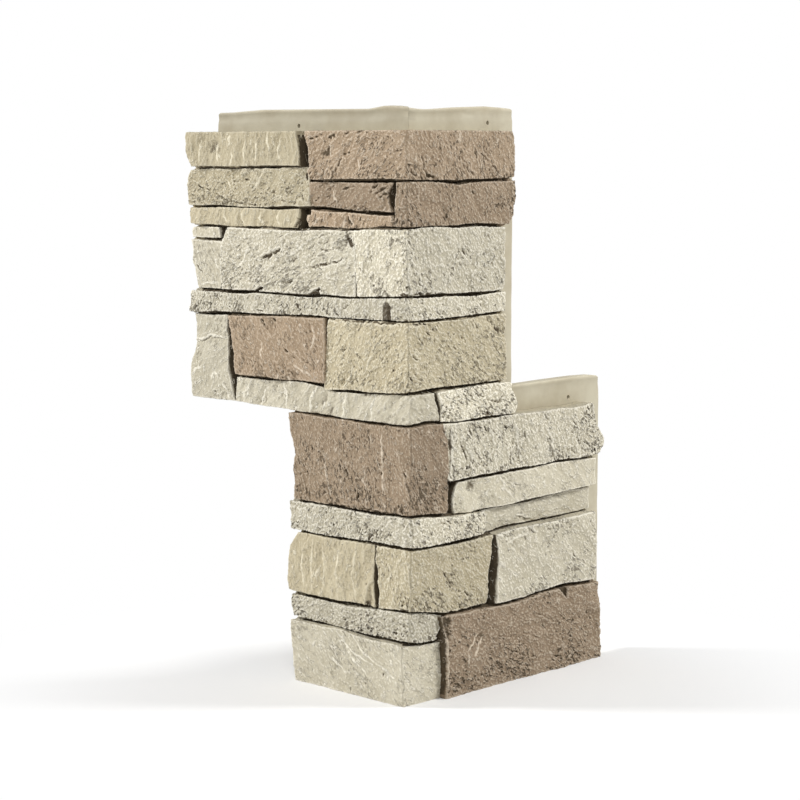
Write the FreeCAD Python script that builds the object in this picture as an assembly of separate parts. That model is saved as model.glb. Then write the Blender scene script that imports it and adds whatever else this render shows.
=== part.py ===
import FreeCAD, Part
import math
import os

# Outside-corner wall panel moulded in one piece as a dry-stacked stone facing. Lengths are in mm.
# The origin is the inner arris of the corner, where the two back faces meet, at the foot of the stones.
# One leg runs along -X and faces -Y, the other runs along +Y and faces +X, and Z is up.
# A run is measured along the unfolded facing from its outside corner and is negative on the -X leg.

# Reach of the stones from the outside corner, above and below the step
LEFT_UPPER = 354.0
LEFT_LOWER = 183.0
RIGHT_UPPER = 160.0
RIGHT_LOWER = 315.0

# Heights of the courses, from the bottom up. A list that stops short ends at the next joint it shares.
LOWER_CORNER_COURSES = [67.0, 31.5, 70.0, 31.5, 100.0]
LOWER_RIGHT_COURSES = [91.0, 81.5, 28.0, 34.0]
UPPER_COURSES = [34.0, 74.0, 27.0, 72.0]
UPPER_CORNER_COURSES = [49.0, 54.0]
UPPER_LEFT_COURSES = [20.0, 43.0]
CHIP_COURSE = 13.0

# Lap joint: flanges at the head and the right end go into rebates at the foot and the left end
FLANGE = 13.0
LAP_UP = 26.0
LAP_SIDE = 26.0
LAP_CLEARANCE = 1.5
REBATE_CLEARANCE = 1.0
FLANGE_ROUND = 5.5

# The bed behind the stones stops short of their outline, so that only stone shows at the edges
BED_WALL = 6.0
BED_SETBACK_UP = 2.0
BED_SETBACK_SIDE = 14.0

# Screw holes through the flanges
HOLE = 4.6
LEFT_HOLE_FROM_CORNER = 156.5
RIGHT_HOLE_FROM_END = 41.0
STEP_HOLE_FROM_END = 55.0
LEFT_HOLE_RISE = 6.0
RIGHT_HOLE_RISE = 9.0
STEP_HOLE_RISE = 5.5

# A stone: its mean height over the bed and its depth in it, its joints and its broken edges
STONE_MEAN = 14.0
STONE_SINK = 10.0
BED_JOINT = 2.6
FACET = 22.0
EDGE_INSET = 5.0
EDGE_DROP = 3.2
CORNER_EASE = 2.5
ARRIS_CUT = 4.5

# How far a face swells and how far its bed joints and its ends wander, each with the lengths of its waves
SWELL = 2.4
SWELL_WAVES = (19.0, 27.0)
CROSS_WAVES = (12.0, 41.0, 23.0)
RIPPLE_WAVES = (7.5, 9.0)
SWAY = 0.8
SWAY_WAVE = 29.0
END_SWAY = 1.6
END_WAVE = 11.0

# Arched recess in the long thin stone, and the chip out of the head of the foot stone on the +Y leg
ARCH_RUN = -31.5
ARCH_WIDTH = 11.0
ARCH_HEIGHT = 19.0
ARCH_FLOOR = 4.0
CHIP_RUN = 243.0
CHIP_WIDTH = 17.0
CHIP_HEIGHT = 13.0
CHIP_DEPTH = 9.0

REBATE = FLANGE + REBATE_CLEARANCE
BED = REBATE + BED_WALL
FACE = BED + STONE_MEAN
ROOT = BED - STONE_SINK


def stack(start, courses):
    """Heights of the joints at the head of each course."""
    heights = []
    for course in courses:
        start = start + course
        heights.append(start)
    return heights


FOOT = 0.0
Z_FOOT, Z_THIN, Z_MIDDLE, Z_BAND, STEP = stack(FOOT, LOWER_CORNER_COURSES)
Z_BLOCK, Z_PROUD, Z_SCAR, Z_SLAB = stack(FOOT, LOWER_RIGHT_COURSES)
Z_LEDGE, Z_LARGE, Z_RUNNER, Z_BROAD = stack(STEP, UPPER_COURSES)
Z_UNDER_CAP, TOP = stack(Z_BROAD, UPPER_CORNER_COURSES)
Z_STRIP, Z_CREASE = stack(Z_BROAD, UPPER_LEFT_COURSES)
Z_CHIP = Z_BROAD - CHIP_COURSE


def between(first, last, share):
    """The value at a share of the way from first to last."""
    return first + (last - first) * share


def relief(run, height):
    """Chiselled swell of the facing at one place, from -1 to 1."""
    slow = math.sin(run / SWELL_WAVES[0] + 1.4 * math.sin(height / SWELL_WAVES[1]))
    bend = 1.1 * math.sin(run / CROSS_WAVES[2])
    cross = math.sin(height / CROSS_WAVES[0] - run / CROSS_WAVES[1] + bend)
    ripple = math.sin(run / RIPPLE_WAVES[0] + height / RIPPLE_WAVES[1])
    return 0.45 * slow + 0.35 * cross + 0.2 * ripple


class Joint:
    """A bed joint: its height at the outside corner, and how it climbs along the run."""

    def __init__(self, height, climb=0.0):
        self.height = height
        self.climb = climb

    def stone_below(self, run):
        return self.line(run) - BED_JOINT / 2

    def stone_above(self, run):
        return self.line(run) + BED_JOINT / 2

    def line(self, run):
        return self.height + self.climb * run + SWAY * math.sin(run / SWAY_WAVE + self.height)


class Edge(Joint):
    """The straight foot or head of the whole facing."""

    def stone_below(self, run):
        return self.height

    def stone_above(self, run):
        return self.height


def stations(length, opens, closes):
    """Shares of a length for the points of a face, with a narrow strip along each broken edge."""
    inset = min(EDGE_INSET, length / 3)
    first = inset if opens else 0.0
    last = length - inset if closes else length
    count = max(1, math.ceil((last - first) / FACET))
    places = [between(first, last, step / count) for step in range(count + 1)]
    if opens:
        places.insert(0, 0.0)
    if closes:
        places.append(length)
    return [place / length for place in places]


class Stone:
    """One stone of the facing.

    start and end are the runs of its left and right ends, each at its foot and at its head.
    below and above are its bed joints. stand and stand_right are how far its face stands out
    from the bed on the -X leg and on the +Y leg. A stone across run 0 turns the corner.
    """

    def __init__(self, start, end, below, above, stand, stand_right=None):
        self.start = start
        self.end = end
        self.below = below
        self.above = above
        self.out_left = BED + stand
        self.out_right = BED + (stand if stand_right is None else stand_right)
        self.turns = start[0] < 0 < end[0]

    def stretches(self):
        """The face on each leg: whether it is the -X leg, its two ends, and which of them are broken edges."""
        if not self.turns:
            return [(self.end[0] < 0, self.start, self.end, True, True)]
        arris_left = self.out_right - FACE - ARRIS_CUT
        arris_right = FACE - self.out_left + ARRIS_CUT
        return [
            (True, self.start, (arris_left, arris_left), True, False),
            (False, (arris_right, arris_right), self.end, False, True),
        ]

    def height(self, run, row):
        return between(self.below.stone_above(run), self.above.stone_below(run), row)

    def face_point(self, on_left, start, end, column, row, at_end):
        """A point of the face at a share of its length and of its height."""
        run = between(between(start[0], start[1], row), between(end[0], end[1], row), column)
        height = self.height(run, row)
        at_bed = row in (0.0, 1.0)
        if at_end:
            run = run + END_SWAY * math.sin(height / END_WAVE)
        if at_end and at_bed:
            run = run + CORNER_EASE * (1 - 2 * column)
            height = height + CORNER_EASE * (1 - 2 * row)
        out = self.out_left if on_left else self.out_right
        out = out + SWELL * relief(run, height)
        if at_end or at_bed:
            out = out - EDGE_DROP
        if on_left:
            return FreeCAD.Vector(FACE + run, -out, height)
        return FreeCAD.Vector(out, run - FACE, height)

    def root_point(self, on_left, face_point, row):
        """The point of the stone's root straight behind a point of its face."""
        past_corner = face_point.x > ROOT if on_left else face_point.y < -ROOT
        if self.turns and past_corner:
            return FreeCAD.Vector(ROOT, -ROOT, self.height(0.0, row))
        if on_left:
            return FreeCAD.Vector(face_point.x, -ROOT, face_point.z)
        return FreeCAD.Vector(ROOT, face_point.y, face_point.z)

    def columns(self):
        """Columns of points of the face and of the root, from the left end to the right end."""
        middle = (self.start[0] + self.end[0]) / 2
        rows = stations(self.height(middle, 1.0) - self.height(middle, 0.0), True, True)
        faces = []
        roots = []
        for on_left, start, end, opens, closes in self.stretches():
            length = (end[0] + end[1] - start[0] - start[1]) / 2
            for column in stations(length, opens, closes):
                at_end = (opens and column == 0.0) or (closes and column == 1.0)
                face = [self.face_point(on_left, start, end, column, row, at_end) for row in rows]
                faces.append(face)
                roots.append([self.root_point(on_left, point, row) for point, row in zip(face, rows)])
        return faces, roots

    def solid(self):
        faces, roots = self.columns()
        skin = Skin()
        for face, face_next, root, root_next in zip(faces, faces[1:], roots, roots[1:]):
            for j in range(len(face) - 1):
                skin.add(face[j], face_next[j], face_next[j + 1], face[j + 1])
                skin.add(root[j], root[j + 1], root_next[j + 1], root_next[j])
            skin.add(root[0], root_next[0], face_next[0], face[0])
            skin.add(face[-1], face_next[-1], root_next[-1], root[-1])
        for j in range(len(faces[0]) - 1):
            skin.add(faces[0][j], faces[0][j + 1], roots[0][j + 1], roots[0][j])
            skin.add(roots[-1][j], roots[-1][j + 1], faces[-1][j + 1], faces[-1][j])
        return skin.solid()


class Skin:
    """A closed skin of flat facets."""

    def __init__(self):
        self.points = []
        self.numbers = {}
        self.facets = []

    def number(self, point):
        key = (round(point.x, 6), round(point.y, 6), round(point.z, 6))
        if key not in self.numbers:
            self.numbers[key] = len(self.points)
            self.points.append(point)
        return self.numbers[key]

    def add(self, *corners):
        """Add a patch of four corners as two facets, and leave out a facet with no area."""
        a, b, c, d = [self.number(corner) for corner in corners]
        for facet in ((a, b, c), (a, c, d)):
            if len(set(facet)) == 3:
                self.facets.append(facet)

    def solid(self):
        shell = Part.Shape()
        shell.makeShapeFromMesh((self.points, self.facets), 0.001)
        return Part.makeSolid(shell).removeSplitter()


def leg_point(on_left, run, out, height):
    """A point of one leg, from its run along the facing and its distance out from the back face."""
    if on_left:
        return FreeCAD.Vector(FACE + run, -out, height)
    return FreeCAD.Vector(out, run - FACE, height)


def leg_plate(on_left, outline, near, far):
    """A plate on one leg between two distances out from its back face, cut to an outline of (run, height)."""
    corners = [leg_point(on_left, run, near, height) for run, height in outline + outline[:1]]
    across = leg_point(on_left, 0.0, far, 0.0) - leg_point(on_left, 0.0, near, 0.0)
    return Part.Face(Part.makePolygon(corners)).extrude(across)


def left_outline(upper, lower, foot, step, top, depth):
    """Staggered outline of the -X leg of a plate this deep, from its ends to where it turns the corner."""
    turn = depth - FACE
    return [(upper, top), (turn, top), (turn, foot), (lower, foot), (lower, step), (upper, step)]


def right_outline(upper, lower, foot, step, top, depth):
    """Staggered outline of the +Y leg."""
    turn = FACE - depth
    return [(turn, foot), (lower, foot), (lower, step), (upper, step), (upper, top), (turn, top)]


def bed():
    """The plate that the stones stand on."""
    side = BED_SETBACK_SIDE
    foot = FOOT + BED_SETBACK_UP
    top = TOP - BED_SETBACK_UP
    left = left_outline(side - LEFT_UPPER, side - LEFT_LOWER, foot, STEP + BED_SETBACK_UP, top, BED)
    right = right_outline(RIGHT_UPPER - side, RIGHT_LOWER - side, foot, STEP - BED_SETBACK_UP, top, BED)
    return leg_plate(True, left, 0.0, BED).fuse(leg_plate(False, right, 0.0, BED))


def rebates():
    """The space behind the foot and the left ends, for the flanges of the next panels."""
    clear = FACE
    side = LAP_SIDE + LAP_CLEARANCE
    up = LAP_UP + LAP_CLEARANCE
    turn = FACE - REBATE
    left = [
        (-LEFT_UPPER - clear, TOP + clear),
        (side - LEFT_UPPER, TOP + clear),
        (side - LEFT_UPPER, STEP + up),
        (side - LEFT_LOWER, STEP + up),
        (side - LEFT_LOWER, FOOT + up),
        (-turn, FOOT + up),
        (-turn, FOOT - clear),
        (-LEFT_UPPER - clear, FOOT - clear),
    ]
    end = RIGHT_LOWER + clear
    right = [(turn, FOOT - clear), (end, FOOT - clear), (end, FOOT + up), (turn, FOOT + up)]
    return leg_plate(True, left, 0.0, REBATE).fuse(leg_plate(False, right, 0.0, REBATE))


def flange_plate():
    """The back plate. Its outline is that of the stones moved up and to the right, which makes the flanges."""
    side = LAP_SIDE + LAP_CLEARANCE
    up = LAP_UP + LAP_CLEARANCE
    top = TOP + LAP_UP
    left = left_outline(side - LEFT_UPPER, side - LEFT_LOWER, FOOT + up, STEP + up, top, FLANGE)
    right = right_outline(
        RIGHT_UPPER + LAP_SIDE, RIGHT_LOWER + LAP_SIDE, FOOT + up, STEP + LAP_UP, top, FLANGE
    )
    left_end = leg_point(True, side - LEFT_UPPER, 0.0, top)
    step_end = leg_point(False, RIGHT_LOWER + LAP_SIDE, 0.0, STEP + LAP_UP)
    right_end = leg_point(False, RIGHT_UPPER + LAP_SIDE, 0.0, top)
    plate_left = rounded(leg_plate(True, left, 0.0, FLANGE), [left_end])
    plate_right = rounded(leg_plate(False, right, 0.0, FLANGE), [step_end, right_end])
    return plate_left.fuse(plate_right)


def rounded(plate, corners):
    """Round the edges that run through a plate from these corners of its back face."""
    picked = []
    for edge in plate.Edges:
        for corner in corners:
            starts_there = min((vertex.Point - corner).Length for vertex in edge.Vertexes) < 0.01
            if starts_there and abs(edge.Length - FLANGE) < 0.01:
                picked.append(edge)
    return plate.makeFillet(FLANGE_ROUND, picked)


def screw_holes():
    """Drills for the fixing screws, one through each flange."""
    right_end = RIGHT_UPPER + LAP_SIDE - RIGHT_HOLE_FROM_END
    step_end = RIGHT_LOWER + LAP_SIDE - STEP_HOLE_FROM_END
    places = [
        (True, -LEFT_HOLE_FROM_CORNER - FACE, TOP + LEFT_HOLE_RISE),
        (False, right_end, TOP + RIGHT_HOLE_RISE),
        (False, step_end, STEP + STEP_HOLE_RISE),
    ]
    drills = []
    for on_left, run, height in places:
        back = leg_point(on_left, run, -FLANGE, height)
        front = leg_point(on_left, run, 2 * FLANGE, height)
        drills.append(Part.makeCylinder(HOLE / 2, 3 * FLANGE, back, front - back))
    return drills


def arch():
    """The arched recess in the face of the long thin stone."""
    foot = Z_LARGE + BED_JOINT
    spring = foot + ARCH_HEIGHT - ARCH_WIDTH / 2
    half = ARCH_WIDTH / 2
    near = BED + ARCH_FLOOR
    far = FACE + STONE_MEAN
    corners = [(ARCH_RUN - half, spring), (ARCH_RUN - half, foot), (ARCH_RUN + half, foot), (ARCH_RUN + half, spring)]
    post = leg_plate(True, corners, near, far)
    start = leg_point(True, ARCH_RUN, near, spring)
    head = Part.makeCylinder(half, far - near, start, leg_point(True, ARCH_RUN, far, spring) - start)
    return post.fuse(head)


def chip():
    """The three-cornered chip out of the head of the foot stone on the +Y leg."""
    head = Z_BLOCK + BED_JOINT / 2
    outline = [(CHIP_RUN, head), (CHIP_RUN + CHIP_WIDTH, head - CHIP_HEIGHT), (CHIP_RUN + CHIP_WIDTH, head)]
    return leg_plate(False, outline, FACE + STONE_MEAN / 2 - CHIP_DEPTH, FACE + STONE_MEAN)


def stones():
    """The stones, course by course from the foot."""
    foot = Edge(FOOT)
    foot_head = Joint(Z_FOOT, -0.012)
    thin_head = Joint(Z_THIN, -0.006)
    thin_head_right = Joint(Z_THIN, -0.045)
    middle_head = Joint(Z_MIDDLE)
    band_head = Joint(Z_BAND)
    block_head = Joint(Z_BLOCK)
    proud_head = Joint(Z_PROUD)
    scar_head = Joint(Z_SCAR, 0.004)
    slab_head = Joint(Z_SLAB, 0.003)
    step = Joint(STEP)
    ledge_head = Joint(Z_LEDGE, 0.006)
    large_head = Joint(Z_LARGE, 0.018)
    runner_head = Joint(Z_RUNNER, 0.014)
    chip_head = Joint(Z_CHIP, 0.014)
    broad_head = Joint(Z_BROAD, 0.013)
    strip_head = Joint(Z_STRIP, 0.004)
    crease_head = Joint(Z_CREASE)
    under_cap = Joint(Z_UNDER_CAP)
    top = Edge(TOP)
    lu, ll, ru, rl = LEFT_UPPER, LEFT_LOWER, RIGHT_UPPER, RIGHT_LOWER
    return [
        Stone((11 - ll, 6 - ll), (48, 49.5), foot, foot_head, 20, 11),
        Stone((52.5, 51), (rl + 1, rl - 3), foot, block_head, 21),
        Stone((4 - ll, -ll), (46, 48), foot_head, thin_head, 14.5, 14),
        Stone((-3 - ll, 3 - ll), (-50.5, -49.5), thin_head, middle_head, 16),
        Stone((-43, -46), (119, 127), thin_head_right, middle_head, 15.5, 17.5),
        Stone((133, 137), (rl - 9, rl - 6), block_head, proud_head, 20),
        Stone((-ll, -2 - ll), (115, 111), middle_head, band_head, 16, 21),
        Stone((119, 119), (rl - 4, rl - 5), proud_head, scar_head, 9),
        Stone((6 - ll, -1 - ll), (56, 53), band_head, step, 16, 18),
        Stone((66, 70), (rl - 4, rl - 4), scar_head, slab_head, 15),
        Stone((59, 56), (rl + 5, rl - 11), slab_head, step, 18),
        Stone((77 - lu, 77 - lu), (47.5, 37.5), step, ledge_head, 13, 15.5),
        Stone((51, 41), (ru + 8, ru - 2), step, ledge_head, 18),
        Stone((-2 - lu, 5 - lu), (73 - lu, 65 - lu), step, large_head, 13),
        Stone((83 - lu, 73 - lu), (-127, -123), ledge_head, large_head, 18),
        Stone((-124.5, -120.5), (ru - 8, ru - 8), ledge_head, large_head, 16.5, 15),
        Stone((-2 - lu, 1 - lu), (ru - 8, ru - 8), large_head, runner_head, 15.5, 13.5),
        Stone((10 - lu, -2 - lu), (57 - lu, 57 - lu), runner_head, chip_head, 12),
        Stone((-4 - lu, -4 - lu), (47 - lu, 47 - lu), chip_head, broad_head, 10),
        Stone((60 - lu, 60 - lu), (-77, -77), runner_head, broad_head, 17),
        Stone((-73, -73), (ru - 10, ru - 10), runner_head, broad_head, 18, 14.5),
        Stone((-1 - lu, -3 - lu), (-168, -170), broad_head, strip_head, 14),
        Stone((-158, -159), (-22, -24), broad_head, strip_head, 13),
        Stone((-18, -17), (ru + 5, ru + 7), broad_head, under_cap, 17, 13.5),
        Stone((-1 - lu, -3 - lu), (-151, -151), strip_head, crease_head, 15),
        Stone((-148.5, -148.5), (-24, -30), strip_head, under_cap, 14),
        Stone((10 - lu, -lu), (-161, -166), crease_head, top, 20),
        Stone((-146, -153), (ru + 7, ru + 7), under_cap, top, 18, 13),
    ]


def corner_panel():
    """The moulded panel: bed and stones, the rebates cut behind them, the flange plate and the screw holes."""
    facing = bed().multiFuse([stone.solid() for stone in stones()])
    facing = facing.cut([rebates(), arch(), chip()])
    panel = facing.fuse(flange_plate())
    return panel.cut(screw_holes()).removeSplitter()


os.makedirs("parts", exist_ok=True)
panel = corner_panel()
panel.exportStep("parts/corner_panel.step")
print("solids", len(panel.Solids), "faces", len(panel.Faces), "litres", round(panel.Volume / 1e6, 3))
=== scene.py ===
import bpy
import bmesh
import math
import numpy as np
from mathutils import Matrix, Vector, noise


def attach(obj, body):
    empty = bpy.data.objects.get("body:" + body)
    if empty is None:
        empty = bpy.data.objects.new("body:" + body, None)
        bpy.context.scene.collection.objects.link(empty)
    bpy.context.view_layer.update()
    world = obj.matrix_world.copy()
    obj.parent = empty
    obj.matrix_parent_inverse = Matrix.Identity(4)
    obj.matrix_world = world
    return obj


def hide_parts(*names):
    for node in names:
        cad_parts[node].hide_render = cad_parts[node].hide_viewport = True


# An outside-corner wall panel moulded in one piece as a dry-stacked stone facing.
# Sizes below are in mm. A run is measured along the unfolded facing from its outside corner:
# it is negative on the leg that faces -Y and positive on the leg that faces +X.

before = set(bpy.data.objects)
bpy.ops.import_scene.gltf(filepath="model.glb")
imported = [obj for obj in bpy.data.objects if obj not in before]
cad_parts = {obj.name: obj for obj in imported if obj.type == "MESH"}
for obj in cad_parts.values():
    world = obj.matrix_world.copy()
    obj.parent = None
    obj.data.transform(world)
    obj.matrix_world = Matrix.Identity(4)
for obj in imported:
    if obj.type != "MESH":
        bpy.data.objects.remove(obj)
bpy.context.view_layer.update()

# Unseeded, noise_vector takes its offsets from the clock
noise.seed_set(1)

MM = 0.001

# Distances from the wall: mean face of the stones, floor of the joints, backs of the stones, front of the plate
FACE = 34.0
BED = 20.0
ROOT = 12.9
FLANGE = 13.0

# Heights: the step between the two blocks, the head of the stones, and the plate
STEP = 300.0
TOP = 610.0
PLATE_FOOT = 27.5
PLATE_HEAD = 636.0
PLATE_STEP_LEFT = 327.5
PLATE_STEP_RIGHT = 326.0

# Outer ends, lower block then upper block: of the stones as runs, of the plate in X and in Y
STONES_LEFT = (-183.0, -354.0)
STONES_RIGHT = (315.0, 160.0)
PLATE_LEFT = (-121.5, -292.5)
PLATE_RIGHT = (307.0, 152.0)

HALF_JOINT = 1.3  # half the mean width of a bed joint
OTHER_SIDE = 7.0  # added to the height of a joint so that its two sides wander apart
ROW, COLUMN = 9, 18  # fields of the coarse block on which the outline is shaped
CELL, SIDE_CELL = 1.0, 2.2  # fields of the face, and of the depth of a stone on one leg
LEVELS = 48  # steps of a vertex group's weight
LEAST = 0.01  # pushes below this are left out
FAR = 999.0  # stands for any distance beyond the panel
CREST = 0.9  # height of a pale crest
CHIPPING = 0.9  # depth of the chips along the rims


# ---------------------------------------------------------------- shop tools


def only(piece):
    """Select one piece and nothing else."""
    bpy.ops.object.select_all(action="DESELECT")
    piece.select_set(True)
    bpy.context.view_layer.objects.active = piece


def edit(piece):
    """Open one piece in edit mode."""
    only(piece)
    bpy.ops.object.mode_set(mode="EDIT")


def done():
    """Leave edit mode."""
    bpy.ops.object.mode_set(mode="OBJECT")


def pick(piece, kind, test):
    """In edit mode, select the vertices, edges or faces that pass a test."""
    bpy.context.tool_settings.mesh_select_mode = (kind == "verts", kind == "edges", kind == "faces")
    bpy.ops.mesh.select_all(action="DESELECT")
    cage = bmesh.from_edit_mesh(piece.data)
    for item in getattr(cage, kind):
        if test(item):
            item.select_set(True)
    bmesh.update_edit_mesh(piece.data)


def block(name, low, high):
    """A block between two corners given in mm, with its place in its mesh."""
    bpy.ops.object.select_all(action="DESELECT")
    size = [(b - a) * MM for a, b in zip(low, high)]
    middle = [(a + b) / 2 * MM for a, b in zip(low, high)]
    bpy.ops.mesh.primitive_cube_add(size=1, location=middle, scale=size)
    piece = bpy.context.object
    piece.name = name
    piece.data.name = name
    bpy.ops.object.transform_apply(location=True, rotation=True, scale=True)
    return piece


def slice_at(axis, place):
    """In edit mode, cut a loop all round the piece at one place along an axis."""
    bpy.ops.mesh.select_all(action="SELECT")
    point = [0.0, 0.0, 0.0]
    normal = [0.0, 0.0, 0.0]
    point[axis] = place * MM
    normal[axis] = 1.0
    bpy.ops.mesh.bisect(plane_co=point, plane_no=normal)


def comb(piece, axis, length, within=None):
    """In edit mode, cut the edges that run along an axis into equal lengths."""
    longest = 0.0

    def along(edge):
        nonlocal longest
        step = edge.verts[1].co - edge.verts[0].co
        if abs(step[axis]) < 0.72 * step.length:
            return False
        if within is not None and not within(edge):
            return False
        longest = max(longest, step.length)
        return True

    pick(piece, "edges", along)
    cuts = round(longest / (length * MM)) - 1
    if cuts > 0:
        bpy.ops.mesh.subdivide(number_cuts=cuts)


def pull_out(piece, test, by):
    """In edit mode, extrude the faces that pass a test."""
    pick(piece, "faces", test)
    move = {"value": [distance * MM for distance in by]}
    bpy.ops.mesh.extrude_region_move(TRANSFORM_OT_translate=move)


def points_of(mesh):
    places = np.empty(len(mesh.vertices) * 3)
    mesh.vertices.foreach_get("co", places)
    return places.reshape(-1, 3)


def normals_of(mesh):
    normals = np.empty(len(mesh.vertices) * 3)
    mesh.vertices.foreach_get("normal", normals)
    return normals.reshape(-1, 3)


def weigh(piece, name, weights):
    """A vertex group from one weight per vertex, in fine steps."""
    group = piece.vertex_groups.new(name=name)
    levels = np.rint(np.clip(weights, 0, 1) * LEVELS).astype(int)
    for level in range(1, LEVELS + 1):
        chosen = np.flatnonzero(levels == level)
        if len(chosen):
            group.add(chosen.tolist(), level / LEVELS, "REPLACE")
    return name


def finish_with(piece, kind, **settings):
    """Add a modifier and apply it."""
    modifier = piece.modifiers.new(kind.lower(), kind)
    for key, value in settings.items():
        setattr(modifier, key, value)
    only(piece)
    bpy.ops.object.modifier_apply(modifier=modifier.name)


def press(piece, name, amounts, direction="NORMAL"):
    """Push the surface along a direction by an amount in mm for each vertex; below 0 it goes back."""
    for way, side in ((-1, "_back"), (1, "_on")):
        most = (way * amounts).max()
        if most > LEAST:
            group = weigh(piece, name + side, way * amounts / most)
            finish_with(piece, "DISPLACE", strength=way * most * MM, mid_level=0.0,
                        direction=direction, vertex_group=group)


def ease(value, low, high):
    """0 below low, 1 above high, and a smooth climb between."""
    share = np.clip((value - low) / (high - low), 0, 1)
    return share * share * (3 - 2 * share)


# ------------------------------------------------------- chisel and grit patterns


def pattern(kind, **settings):
    """A texture that a coat of relief is pressed from."""
    made = bpy.data.textures.new("pattern_" + kind.lower(), kind)
    for key, value in settings.items():
        setattr(made, key, value)
    return made


SWELL = pattern("CLOUDS", noise_scale=0.034, noise_depth=1)
WAVE = pattern("CLOUDS", noise_scale=0.012, noise_depth=1, contrast=1.6)
SCOOP = pattern("VORONOI", noise_scale=0.013, distance_metric="DISTANCE_SQUARED", noise_intensity=1.6)
RIDGE = pattern(
    "MUSGRAVE", musgrave_type="RIDGED_MULTIFRACTAL", noise_scale=0.0065, octaves=3.0,
    lacunarity=2.1, dimension_max=0.8, offset=0.9, gain=1.5, noise_intensity=0.4,
)
GRIT = pattern("CLOUDS", noise_scale=0.0024, noise_depth=2, contrast=2.2)
LEDGE = pattern("CLOUDS", noise_scale=0.0095, noise_depth=2)
PIT = pattern("CLOUDS", noise_scale=0.0040, noise_depth=2, noise_basis="IMPROVED_PERLIN")
CHIP = pattern("CLOUDS", noise_scale=0.0065, noise_depth=3)
FLAKE = pattern("CLOUDS", noise_scale=0.026, noise_depth=4)


def ramp(made, *stops):
    """Reshape a pattern with stops of (place, height)."""
    made.use_color_ramp = True
    elements = made.color_ramp.elements
    while len(elements) < len(stops):
        elements.new(0.5)
    for element, (place, height) in zip(elements, stops):
        element.position = place
        element.color = (height, height, height, 1)


ramp(PIT, (0.60, 0.0), (0.69, 1.0))
ramp(LEDGE, (0.34, 0.0), (0.40, 0.12), (0.404, 0.36), (0.48, 0.30), (0.484, 0.58), (0.56, 0.50), (0.564, 0.78),
     (0.66, 0.72), (0.664, 1.0))
ramp(CHIP, (0.50, 0.0), (0.58, 0.7), (0.70, 1.0))
ramp(FLAKE, (0.36, 0.0), (0.375, 0.22), (0.46, 0.34), (0.475, 0.60), (0.57, 0.72), (0.58, 0.92), (0.70, 1.0))

# The coats of relief in their order: pattern, name of its depth in a stone's look, out or in, level that stays put,
# vertex group, and whether it pushes along one axis instead of along the normals
COATS = (
    (SWELL, "swell", 1, 0.5, "_face", True),
    (WAVE, "wave", 1, 0.5, "_face", True),
    (FLAKE, "flake", 1, 0.5, "_face", True),
    (SCOOP, "scoop", 1, 0.4, "_calm", True),
    (RIDGE, "ridge", 1, 0.35, "_rough", False),
    (LEDGE, "ledge", 1, 0.5, "_face", True),
    (PIT, "pit", -1, 0.0, "_rough", False),
    (GRIT, "grit", 1, 0.5, "_skin", False),
)


def grain(on_left, lean, stretch):
    """An empty whose long axis lies along the grain of a face, leaning from the vertical by some degrees."""
    bpy.ops.object.select_all(action="DESELECT")
    turn = math.radians(lean)
    turned = (0, turn, 0) if on_left else (-turn, 0, 0)
    bpy.ops.object.empty_add(rotation=turned)
    empty = bpy.context.object
    empty.scale = (1, 1, stretch)
    bpy.context.view_layer.update()
    return empty


# ---------------------------------------------------------------- the stones


class Line:
    """A bed joint drawn through points of (run, height)."""

    def __init__(self, *points):
        self.runs = [point[0] for point in points]
        self.heights = [point[1] for point in points]

    def at(self, run):
        return float(np.interp(run, self.runs, self.heights))


def lay_block(name, start, end, foot, head, out_left, out_right):
    """The plain block of a stone: straight on one leg, or turned round the corner."""
    if end < 0:
        return block(name, (FACE + start, -out_left, foot), (FACE + end, -ROOT, head))
    if start > 0:
        return block(name, (ROOT, start - FACE, foot), (out_right, end - FACE, head))
    stone = block(name, (FACE + start, -out_left, foot), (out_right, -ROOT, head))
    edit(stone)
    slice_at(0, ROOT)

    def behind_corner(face):
        return face.normal.y > 0.9 and face.calc_center_median().x > ROOT * MM

    pull_out(stone, behind_corner, (0, end - FACE + ROOT, 0))
    done()
    return stone


def half_joint(run, height):
    """Half the width of a bed joint, which wanders along its run; the foot and the head of the panel have none."""
    if not OTHER_SIDE + 1 < height < TOP:
        return 0.0
    return HALF_JOINT * max(0.3, 1 + 1.9 * noise.noise(Vector((run * 0.022, height * 0.41, 0.5))))


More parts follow.
